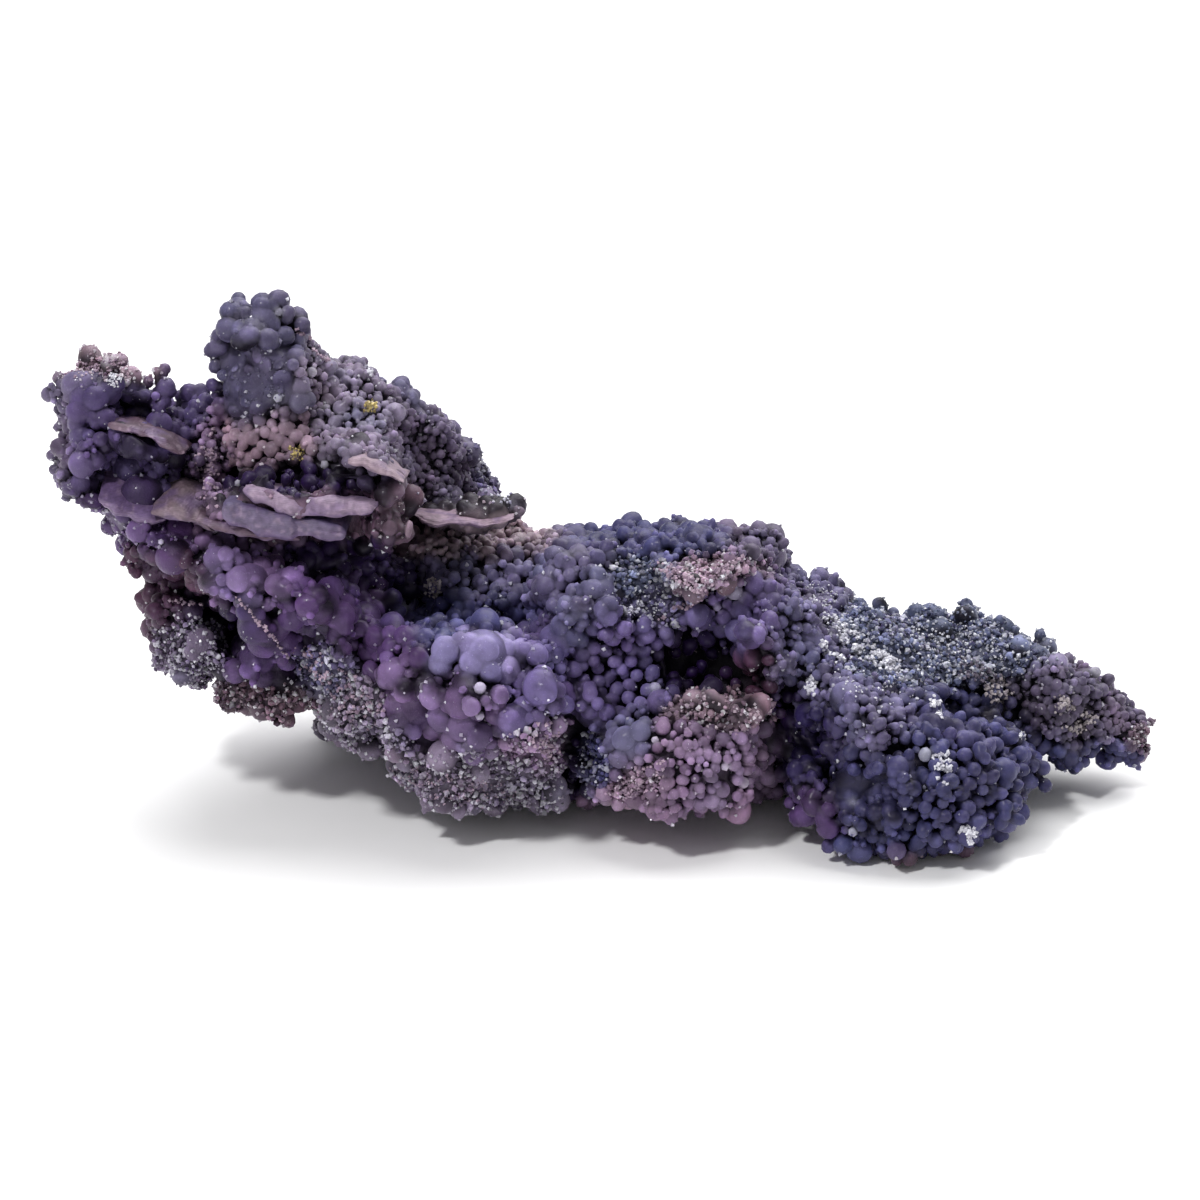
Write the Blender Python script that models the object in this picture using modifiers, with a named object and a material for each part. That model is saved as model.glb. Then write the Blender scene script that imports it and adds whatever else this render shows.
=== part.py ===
"""Grape agate: one piece of botryoidal chalcedony, grown as a long, curling crust of grape-like balls.

Run with: blender --background --python part.py

The piece is 180 mm long. +X runs along it to its thin tip, +Y away from its showy side, +Z up.
The origin is on the surface that it rests on, under the middle of its bounding box.
"""

import math
import random

import bmesh
import bpy
from mathutils import Euler, Matrix, Vector

MM = 0.001

# Driving dimensions, in millimetres.
BODY_VOXEL = 1.6  # grain of the body, before its balls are on it
SKIN_VOXEL = 0.9  # grain of the finished skin
FRONT_BALLS = (2.6, 4.0)  # smallest and largest radius on the showy side and on top
BACK_BALLS = (3.8, 5.6)  # the same at the back and underneath
COARSE_MIDDLE = -25.0  # where along X the balls are largest
COARSE_REACH = 30.0  # how far along X from there they are larger
COARSE_EXTRA = 1.3  # how much larger
BALL_SPACING = 0.86  # of the sum of two radii, between the middles of neighbours
BALL_SINK = 0.28  # of a radius, by which a ball's middle is under the skin
BALL_TRIES = 9000
BLOCK = (300.0, 300.0, 60.0)  # the block whose top is the surface that it rests on
PLATE_CORNERS = 15
MOST_TRIANGLES = 9700
CREASE = 38.0  # degrees between faces, past which their edge is sharp
SEED = 41

# The body is lobes of chalcedony grown into each other.
# Each is a middle (x, y, z), half-sizes (x, y, z) and a turn in degrees about (x, y, z).
LOBES = {
    # The left wing, which overhangs.
    "wing_top": ((-80.5, 3, 66.5), (6.5, 8, 4.5), (0, 0, 0)),
    "wing_front": ((-82, -2, 56.5), (4.5, 7, 5), (0, 0, 0)),
    "wing_root": ((-71, 6, 57), (9, 11, 7), (0, 10, 0)),
    "wing_bridge": ((-64, 9, 59.5), (6, 8, 5), (0, 0, 0)),
    # The tower, the highest part.
    "tower_knob": ((-53, 4, 77.5), (5.5, 7, 5), (0, 0, 0)),
    "tower_face": ((-52.5, 3, 68), (8, 10, 8.5), (0, 0, 0)),
    "tower_body": ((-46, 6, 57), (15.5, 14, 10), (0, 8, 0)),
    "tower_shoulder": ((-37.5, 13, 60), (9.5, 11, 7), (0, 38, 0)),
    "tower_slope": ((-30, 19, 51.5), (9.5, 11, 8.5), (0, 50, 0)),
    "tower_post": ((-33, -12, 53), (3.5, 6, 7), (0, 0, 0)),
    "tower_foot": ((-22, 22, 38), (9, 12, 8), (0, 30, 0)),
    # The left body under the tower.
    "sheet": ((-65, -2, 45), (14, 14, 7), (0, 14, 0)),
    "chin": ((-66, 2, 29), (8, 11, 10), (0, 20, 0)),
    "jaw": ((-54, -1, 26), (12, 14, 8), (0, 25, 0)),
    "belly": ((-47, -4, 38), (14, 17, 11), (0, 0, 0)),
    "belly_low": ((-37, -7, 24), (12, 15, 11), (0, 25, 0)),
    "hanging_lobe": ((-23, -14, 13), (10.5, 12, 10), (0, 0, 0)),
    "hanging_right": ((-13, -13, 14), (9, 11, 9.5), (0, 0, 0)),
    "big_grapes": ((-21, -17, 28.5), (13, 11, 7), (0, 0, 0)),
    # The saddle between the tower and the middle.
    "saddle_left": ((-22, 8, 31), (14, 14, 10), (0, 0, 0)),
    "saddle": ((-7, 8, 31.5), (11, 14, 10), (0, 0, 0)),
    "saddle_front": ((-7, -8, 19), (9, 15, 14), (0, 0, 0)),
    "cleft_floor": ((-4.5, -7, 12), (7, 11, 10), (0, 0, 0)),
    # The middle lobe.
    "middle_top": ((13, 3, 37.5), (16, 16, 7), (0, 0, 0)),
    "middle_crest": ((24, 6, 40), (6, 7, 4.5), (0, 0, 0)),
    "middle_left": ((0, -4, 35), (10, 14, 9), (0, 0, 0)),
    "middle_front": ((12, -21, 14.5), (13.5, 9, 9.5), (0, 0, 0)),
    "middle_core": ((9, -1, 20), (17, 17, 16), (0, 0, 0)),
    "middle_right": ((27, -8, 27), (6.5, 11, 10), (0, 0, 0)),
    # The long right arm, down to the tip.
    "arm_top": ((42, 3, 23), (16, 16, 8), (0, 12, 0)),
    "arm_middle": ((58, 7, 19), (15, 14, 8), (0, 12, 0)),
    "arm_end": ((73, 3, 14.5), (11.5, 11, 8), (0, 22, 0)),
    "tip": ((85.5, 4, 10.5), (5.5, 5, 3.6), (0, 20, 0)),
    "arm_front": ((48, -22, 10.5), (18, 12, 10.5), (0, 0, 0)),
    "arm_shelf": ((40, -12, 18), (14, 15, 10), (0, 0, 0)),
    "arm_side": ((61, -14, 10), (7, 10, 9), (0, 0, 0)),
    "cleft_back": ((29, -6, 14), (9, 10, 12), (0, 0, 0)),
    # The back.
    "back_left": ((-50, 22, 40), (20, 16, 20), (0, 0, 0)),
    "back_left_foot": ((-34, 20, 16), (16, 16, 16), (0, 0, 0)),
    "back_middle": ((-4, 22, 20), (22, 14, 18), (0, 0, 0)),
    "back_right": ((28, 20, 18), (20, 13, 16), (0, 0, 0)),
    "back_arm": ((56, 18, 9), (16, 11, 8.5), (0, 0, 0)),
}

# Recesses that growth left open, in the same form as the lobes.
HOLLOWS = {
    "under_tower": ((-46, -15, 61), (12, 9, 3.0), (0, 0, 0)),
    "under_ledges": ((-42, -20, 48), (13, 9, 3.4), (0, 0, 0)),
    "behind_sheet": ((-60, -14, 33), (13, 10, 3.2), (0, 35, 0)),
    "dark_bowl": ((-27, -15, 38), (13, 10, 4.2), (0, 0, 0)),
    "wing_hollow": ((-73, -9, 58), (6, 6, 2.6), (0, 20, 0)),
    "wing_cup": ((-75, -6, 66), (4.5, 6, 2.4), (0, 0, 0)),
    "middle_cave": ((17, -21, 28.5), (9, 11, 4), (0, 0, 0)),
    "left_cleft": ((-4.5, -24, 18), (2.4, 7, 9), (0, 0, 0)),
    "right_cleft": ((29, -26, 18), (3, 8, 9), (0, 0, 0)),
}

# Flat plates of old crust, edge on to the showy side, in the same form.
PLATES = {
    "wing_ledge": ((-72.5, -5, 62), (7, 8, 1.3), (0, 22, 0)),
    "upper_ledge": ((-47, -13, 57.2), (11.5, 9, 1.4), (0, 2, 0)),
    "lower_ledge": ((-53, -13, 53.6), (11.5, 9, 1.5), (0, 4, 0)),
    "tan_ledge": ((-36.5, -10, 61.5), (5.5, 7, 1.3), (0, 12, 0)),
    "long_plate": ((-20.5, 5, 46.5), (10, 8, 1.1), (0, -4, 0)),
    "middle_brow": ((16, -10, 42.5), (8.5, 7, 1.5), (14, 0, 0)),
}

# Faces that stay bare of balls: a middle and half-sizes.
BARE = {
    "tower_face": ((-55, -8, 68.5), (6.5, 8, 7.5)),
    "tower_back_slope": ((-31, 25, 60), (12, 10, 9)),
    "sheet": ((-67, -12, 46), (9, 9, 6)),
}

# The largest balls, which stand out on the showy side: middle and radius.
BIG_BALLS = [
    # On the hanging lobe.
    ((-18.5, -29, 28), 4.6),
    ((-12, -29, 22), 4.0),
    ((-9, -27, 28), 3.4),
    ((-25, -27, 29), 3.6),
    ((-32, -24, 20), 4.2),
    ((-20, -28, 20), 3.6),
    ((-33, -22, 30), 3.0),
    ((-41, -22, 33), 3.2),
    # On the belly, under the ledges.
    ((-44, -22, 40), 3.0),
    ((-54, -20, 41), 3.4),
    ((-59, -18, 44), 3.2),
    # On the wing.
    ((-72, -8, 50), 3.6),
    ((-81, -8, 53), 3.2),
    ((-79, -7, 61), 2.8),
    ((-70.5, 3, 67), 2.2),
    # The knob on the tower.
    ((-58.3, 4, 81.2), 2.9),
    ((-52.3, 4, 82), 3.1),
    ((-54, -4, 78), 2.9),
    ((-59.6, 1, 77.6), 2.9),
    ((-61.5, 2, 74.6), 2.5),
    ((-47.8, 4, 78), 2.4),
    # On the middle lobe.
    ((1, -18, 38), 3.2),
    ((23, -20, 35), 3.2),
    ((29, -20, 30), 3.0),
    ((21, -24, 22), 3.6),
]


def placed(middle, half_sizes, turn=(0, 0, 0)):
    """The matrix that makes a unit ball the lobe given in millimetres and degrees."""
    turned = Euler([math.radians(a) for a in turn]).to_matrix().to_4x4()
    sizes = Matrix.Diagonal((*[s * MM for s in half_sizes], 1.0))
    return Matrix.Translation(Vector(middle) * MM) @ turned @ sizes


def mesh_object(name, fill):
    """A new object whose mesh is what fill puts into a bmesh."""
    mesh = bpy.data.meshes.new(name)
    bm = bmesh.new()
    fill(bm)
    bm.to_mesh(mesh)
    bm.free()
    return bpy.data.objects.new(name, mesh)


def balls_object(name, matrices, subdivisions):
    """One mesh object that holds a unit ball under each of the matrices."""

    def fill(bm):
        for matrix in matrices:
            bmesh.ops.create_icosphere(bm, subdivisions=subdivisions, radius=1.0, matrix=matrix)

    return mesh_object(name, fill)


def plates_object(name, matrices, rng):
    """One mesh object that holds a ragged round plate under each of the matrices."""

    def fill(bm):
        for matrix in matrices:
            disc = bmesh.ops.create_circle(bm, cap_ends=True, radius=1.0, segments=PLATE_CORNERS)
            rim = disc["verts"]
            for vert in rim:
                vert.co *= rng.uniform(0.8, 1.08)
                vert.co.z = -1.0
            raised = bmesh.ops.extrude_face_region(bm, geom=list(rim[0].link_faces))
            top = [v for v in raised["geom"] if isinstance(v, bmesh.types.BMVert)]
            bmesh.ops.translate(bm, verts=top, vec=(0, 0, 2.0))
            bmesh.ops.transform(bm, matrix=matrix, verts=rim + top)
        bmesh.ops.recalc_face_normals(bm, faces=bm.faces)

    return mesh_object(name, fill)


def evaluated_mesh(obj, name):
    """A new mesh: the object with its modifiers applied."""
    bpy.context.view_layer.update()
    graph = bpy.context.evaluated_depsgraph_get()
    mesh = bpy.data.meshes.new_from_object(obj.evaluated_get(graph))
    mesh.name = name
    return mesh


def fuse(obj, voxel):
    """Adds the Remesh modifier that fuses overlapping shapes into one closed skin."""
    remesh = obj.modifiers.new("fuse", "REMESH")
    remesh.mode = "VOXEL"
    remesh.voxel_size = voxel * MM


def cut(obj, cutter):
    """Adds a Boolean that takes the cutter away."""
    boolean = obj.modifiers.new("cut_" + cutter.name, "BOOLEAN")
    boolean.operation = "DIFFERENCE"
    boolean.solver = "EXACT"
    boolean.object = cutter


def as_cutter(obj, collection):
    """Puts a helper in the cutters' collection and keeps it out of the model."""
    collection.objects.link(obj)
    obj.display_type = "WIRE"
    obj.hide_render = True
    return obj


def body_mesh(parts, cutters):
    """The fused lobes with their hollows taken out, as one mesh."""
    lobes = balls_object("lobes", [placed(*lobe) for lobe in LOBES.values()], 4)
    hollows = balls_object("hollows", [placed(*hollow) for hollow in HOLLOWS.values()], 3)
    parts.objects.link(lobes)
    fuse(lobes, BODY_VOXEL)
    cut(lobes, as_cutter(hollows, cutters))
    mesh = evaluated_mesh(lobes, "body")
    for helper in (lobes, hollows):
        bpy.data.objects.remove(helper)
    return mesh


def is_bare(point):
    """Whether a point on the skin, in metres, is on a face where no balls grow."""
    return any(
        sum(((point[i] / MM - middle[i]) / half_sizes[i]) ** 2 for i in range(3)) < 1
        for middle, half_sizes in BARE.values()
    )


def ball_radius(point, normal, rng):
    """The radius in metres of a ball that grows at this point of the skin."""
    if normal.y > 0.3 or normal.z < -0.5:
        return rng.uniform(*BACK_BALLS) * MM
    from_middle = (point.x / MM - COARSE_MIDDLE) / COARSE_REACH
    extra = COARSE_EXTRA * math.exp(-(from_middle**2)) * rng.random()
    return (rng.uniform(*FRONT_BALLS) + extra) * MM


class Neighbours:
    """The balls placed so far, sorted into cells as wide as the largest two touching balls."""

    def __init__(self, cell):
        self.cell = cell
        self.cells = {}

    def key(self, point):
        return tuple(math.floor(x / self.cell) for x in point)

    def crowd(self, point, radius):
        """Whether a ball here would be nearer to another than they grow."""
        x, y, z = self.key(point)
        around = (
            ball
            for i in (x - 1, x, x + 1)
            for j in (y - 1, y, y + 1)
            for k in (z - 1, z, z + 1)
            for ball in self.cells.get((i, j, k), ())
        )
        return any((point - p).length < BALL_SPACING * (radius + r) for p, r in around)

    def add(self, point, radius):
        self.cells.setdefault(self.key(point), []).append((point, radius))


def ball_matrices(mesh, rng):
    """Places balls over the whole skin, no two nearer than they would grow."""
    mesh.calc_loop_triangles()
    triangles = mesh.loop_triangles
    areas = [triangle.area for triangle in triangles]
    neighbours = Neighbours(2 * BACK_BALLS[1] * MM)
    matrices = []
    for triangle in rng.choices(triangles, weights=areas, k=BALL_TRIES):
        a, b, c = (mesh.vertices[v].co for v in triangle.vertices)
        low, high = sorted((rng.random(), rng.random()))
        point = a * low + b * (high - low) + c * (1 - high)
        radius = ball_radius(point, triangle.normal, rng)
        if is_bare(point) or neighbours.crowd(point, radius):
            continue
        neighbours.add(point, radius)
        middle = point - triangle.normal * radius * BALL_SINK
        matrices.append(Matrix.Translation(middle) @ Matrix.Scale(radius, 4))
    return matrices


def joined_object(name, meshes):
    """One object that holds all the meshes as they are."""

    def fill(bm):
        for mesh in meshes:
            bm.from_mesh(mesh)

    return mesh_object(name, fill)


def thinned(obj, triangles):
    """Adds the Decimate modifier that leaves about this many triangles."""
    obj.data.calc_loop_triangles()
    decimate = obj.modifiers.new("thin", "DECIMATE")
    decimate.ratio = triangles / len(obj.data.loop_triangles)


def centre(mesh):
    """Moves a mesh along X and Y until the middle of its box is over the origin."""
    for axis in (0, 1):
        places = [vert.co[axis] for vert in mesh.vertices if vert.co.z > 0]
        shift = Vector((0, 0, 0))
        shift[axis] = -(min(places) + max(places)) / 2
        mesh.transform(Matrix.Translation(shift))


def floor_block(cutters):
    """The block whose top is the surface that the piece rests on."""

    def fill(bm):
        bmesh.ops.create_cube(bm, size=MM)
        bmesh.ops.scale(bm, vec=BLOCK, verts=bm.verts)
        bmesh.ops.translate(bm, vec=(0, 0, -BLOCK[2] * MM / 2), verts=bm.verts)

    return as_cutter(mesh_object("floor_block", fill), cutters)


def chalcedony():
    """Violet-grey waxy chalcedony."""
    material = bpy.data.materials.new("chalcedony")
    material.use_nodes = True
    shader = material.node_tree.nodes["Principled BSDF"]
    shader.inputs["Base Color"].default_value = (0.13, 0.105, 0.19, 1.0)
    shader.inputs["Roughness"].default_value = 0.5
    shader.inputs["Metallic"].default_value = 0.0
    return material


def build():
    """Makes the grape agate."""
    for obj in list(bpy.data.objects):
        bpy.data.objects.remove(obj)
    parts = bpy.data.collections.new("grape_agate_parts")
    cutters = bpy.data.collections.new("cutters")
    for collection in (parts, cutters):
        bpy.context.scene.collection.children.link(collection)

    rng = random.Random(SEED)
    body = body_mesh(parts, cutters)
    big = [placed(middle, (radius,) * 3) for middle, radius in BIG_BALLS]
    balls = balls_object("balls", big + ball_matrices(body, rng), 2)
    plates = plates_object("plates", [placed(*plate) for plate in PLATES.values()], rng)
    draft = joined_object("draft", (body, balls.data, plates.data))
    parts.objects.link(draft)
    fuse(draft, SKIN_VOXEL)
    draft.data = evaluated_mesh(draft, "skin")
    draft.modifiers.clear()
    thinned(draft, MOST_TRIANGLES)
    skin = evaluated_mesh(draft, "grape_agate")
    for helper in (draft, balls, plates):
        bpy.data.objects.remove(helper)

    centre(skin)
    skin.shade_smooth()
    skin.set_sharp_from_angle(angle=math.radians(CREASE))
    agate = bpy.data.objects.new("grape_agate", skin)
    parts.objects.link(agate)
    cut(agate, floor_block(cutters))
    agate.data.materials.append(chalcedony())


if __name__ == "__main__":
    build()
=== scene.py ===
"""Grape agate: the dressed model of one long, curling crust of botryoidal chalcedony.

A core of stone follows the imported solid. Thousands of balls are united with it, crystals and pale
crust lie on them, and flat old ledges stand out of it. Lengths are in metres unless a name says
millimetres, and places on the showy side are given in pixels of the 1200 by 1200 photograph.
"""

import logging
import math
from dataclasses import dataclass, field, fields
from enum import Enum

import bmesh
import bpy
import numpy as np
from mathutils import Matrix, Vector, kdtree, noise
from mathutils.bvhtree import BVHTree


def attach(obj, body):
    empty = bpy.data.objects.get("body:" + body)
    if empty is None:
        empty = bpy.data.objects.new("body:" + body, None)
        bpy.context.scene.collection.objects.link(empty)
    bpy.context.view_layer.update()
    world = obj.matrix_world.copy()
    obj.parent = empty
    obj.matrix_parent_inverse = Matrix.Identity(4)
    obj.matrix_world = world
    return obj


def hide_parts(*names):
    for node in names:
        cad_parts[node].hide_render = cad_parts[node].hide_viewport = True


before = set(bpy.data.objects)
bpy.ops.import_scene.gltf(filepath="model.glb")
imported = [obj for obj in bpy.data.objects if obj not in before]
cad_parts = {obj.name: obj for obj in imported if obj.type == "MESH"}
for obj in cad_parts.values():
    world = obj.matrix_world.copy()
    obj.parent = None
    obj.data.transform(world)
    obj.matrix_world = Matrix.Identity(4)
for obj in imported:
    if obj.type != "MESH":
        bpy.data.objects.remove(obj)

logging.basicConfig(level=logging.INFO, format="%(name)s: %(message)s")
LOG = logging.getLogger("grape_agate")

MM = 0.001
NODE = "grape_agate"
BODY = "root"
TONE_LAYER = "tone"
BALL_LAYER = "ball"
SEED = 20
noise.seed_set(SEED)
CORE_FACE = -1  # the ball number that a face of the core carries
CAP_FACE = -2  # the same of a face inside the stone, where two pieces meet
BEHIND = -0.08  # cosine of the turn to the viewer under which the stone counts as its back
OWN_DUST = 0.8  # how much of its own tone the dust on a ball adds
VEIL_DUST = 0.14  # how much lavender it adds

Array = np.ndarray
Spot = tuple[int, int, int]
Setting = bpy.types.NodeSocket | float | tuple[float, ...]  # what a node's socket takes
MOST_NOISE = (0.3, 0.7)  # the span in which most of a noise node's values lie


def linear(colour: tuple[float, float, float]) -> Array:
    """An 8-bit sRGB colour as a linear one."""
    share = np.array(colour, float) / 255
    return np.where(share <= 0.04045, share / 12.92, ((share + 0.055) / 1.055) ** 2.4)


def smoothstep(low: float, high: float, value: Array) -> Array:
    """Rises smoothly from 0 at low to 1 at high."""
    share = np.clip((value - low) / (high - low), 0, 1)
    return share * share * (3 - 2 * share)


def paler(tone: Array, share: Array | float) -> Array:
    """A tone on the way to a paler one, which is darker where the tone is dark."""
    return tone + (tone * OWN_DUST + Tone.LAVENDER.linear() * VEIL_DUST) * share


def unit(vectors: Array) -> Array:
    """Vectors scaled to length one."""
    return vectors / np.maximum(np.linalg.norm(vectors, axis=-1, keepdims=True), 1e-12)


class Tone(Enum):
    """Colours of the stone, as 8-bit sRGB; the first two are painted shade for hollows and gaps."""

    # painted shade: near-black violets for balls in hollows, gaps and clefts
    HOLLOW_SHADE = (34, 22, 54)
    GAP_SHADE = (40, 34, 66)
    INK = (66, 66, 98)
    GRAPE = (80, 62, 98)
    PLUM = (92, 72, 110)
    VIOLET = (104, 94, 132)
    LAVENDER = (130, 121, 157)
    MAUVE = (132, 113, 136)
    SLATE = (98, 94, 120)
    STEEL = (84, 80, 102)
    TEAL = (86, 91, 112)
    OLIVE = (98, 90, 108)
    TAN = (140, 121, 132)
    CLAY = (124, 102, 118)
    SAND = (156, 140, 147)
    BROWN = (94, 77, 86)
    RUST = (72, 50, 66)
    DUSK = (76, 66, 98)
    ASH = (120, 112, 128)
    HEATHER = (110, 93, 126)
    PINK = (176, 152, 170)
    PALE_TAN = (178, 168, 170)
    FROST = (232, 232, 240)
    GOLD = (206, 186, 120)

    def linear(self) -> Array:
        """The tone as linear colour."""
        return linear(self.value)


@dataclass(frozen=True)
class Habit:
    """How the stone grows in one kind of place.

    Attributes:
        spacing: share of the sum of two radii that keeps balls apart.
        sink: share of a radius by which a ball's middle lies under the skin.
        uneven: share of a radius by which balls stand out more or less than that.
        stretch: least and most length of a ball outward, in radii.
        beads: beads that hang inward under each ball.
        twins: share of the balls that have a smaller one grown to their side.
        under: share of the places that also have a ball in a deeper layer.
        recess: millimetres from the skin down to the core.
        shade: painted shade on the core between the balls: how bright it is there.
        cover: share of the places that grow a ball.
        crumbs: how thickly tiny crystals grow.
        beadlets: share of the balls that carry a small bead.
        lobes: how strongly the skin swells into lobes.
    """

    spacing: float
    sink: float
    uneven: float
    stretch: tuple[float, float]
    beads: int
    twins: float
    under: float
    recess: float
    shade: float
    cover: float
    crumbs: float
    beadlets: float
    lobes: float


class Growth(Enum):
    """The habits that this specimen shows."""

    GRAPES = Habit(0.6, 0.28, 0.5, (0.95, 1.25), 0, 0.35, 0.3, 1.8, 0.2, 1.0, 0.08, 0.2, 1.0)
    LUMPS = Habit(0.62, 0.42, 0.3, (0.9, 1.1), 0, 0.5, 0.15, 1.6, 0.25, 1.0, 0.12, 0.3, 1.0)
    STALKS = Habit(0.7, 0.05, 0.9, (1.05, 1.6), 2, 0.4, 0.5, 3.4, 0.12, 0.95, 0.03, 0.15, 0.9)
    FINE = Habit(0.68, 0.16, 0.5, (1.0, 1.4), 0, 0.3, 0.1, 1.2, 0.3, 1.0, 0.12, 0.1, 0.7)
    CRUST = Habit(0.8, 0.25, 0.6, (0.6, 1.4), 0, 0.2, 0.0, 0.5, 0.6, 0.9, 1.6, 0.0, 0.8)
    BARE = Habit(0.8, 0.4, 0.3, (0.35, 0.6), 0, 0.1, 0.0, 0.2, 0.95, 0.6, 0.5, 0.0, 0.45)
    SPARSE = Habit(1.0, 0.2, 0.8, (1.0, 1.4), 2, 0.2, 0.3, 4.0, 0.12, 0.6, 0.03, 0.0, 0.5)
    CALM = Habit(0.7, 0.25, 0.4, (0.95, 1.2), 0, 0.2, 0.0, 1.3, 0.3, 1.0, 0.04, 0.05, 1.0)


@dataclass(frozen=True)
class Ellipse:
    """An ellipse in the photograph.

    Attributes:
        u: middle, pixels from the left.
        v: middle, pixels from the top.
        ru: half-width in pixels.
        rv: half-height in pixels.
        turn: degrees by which it is turned clockwise.
    """

    u: float
    v: float
    ru: float
    rv: float
    turn: float


@dataclass(frozen=True)
class Zone(Ellipse):
    """A part of the showy side, and how the stone grows there.

    Attributes:
        growth: habit of the balls.
        small: least radius of a ball in pixels.
        large: greatest radius of a ball in pixels.
        tone: colour.
        frost: how dusty the outer ends of the balls are, 0 to 1.
    """

    growth: Growth
    small: float
    large: float
    tone: Tone
    frost: float = 0.15


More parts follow.
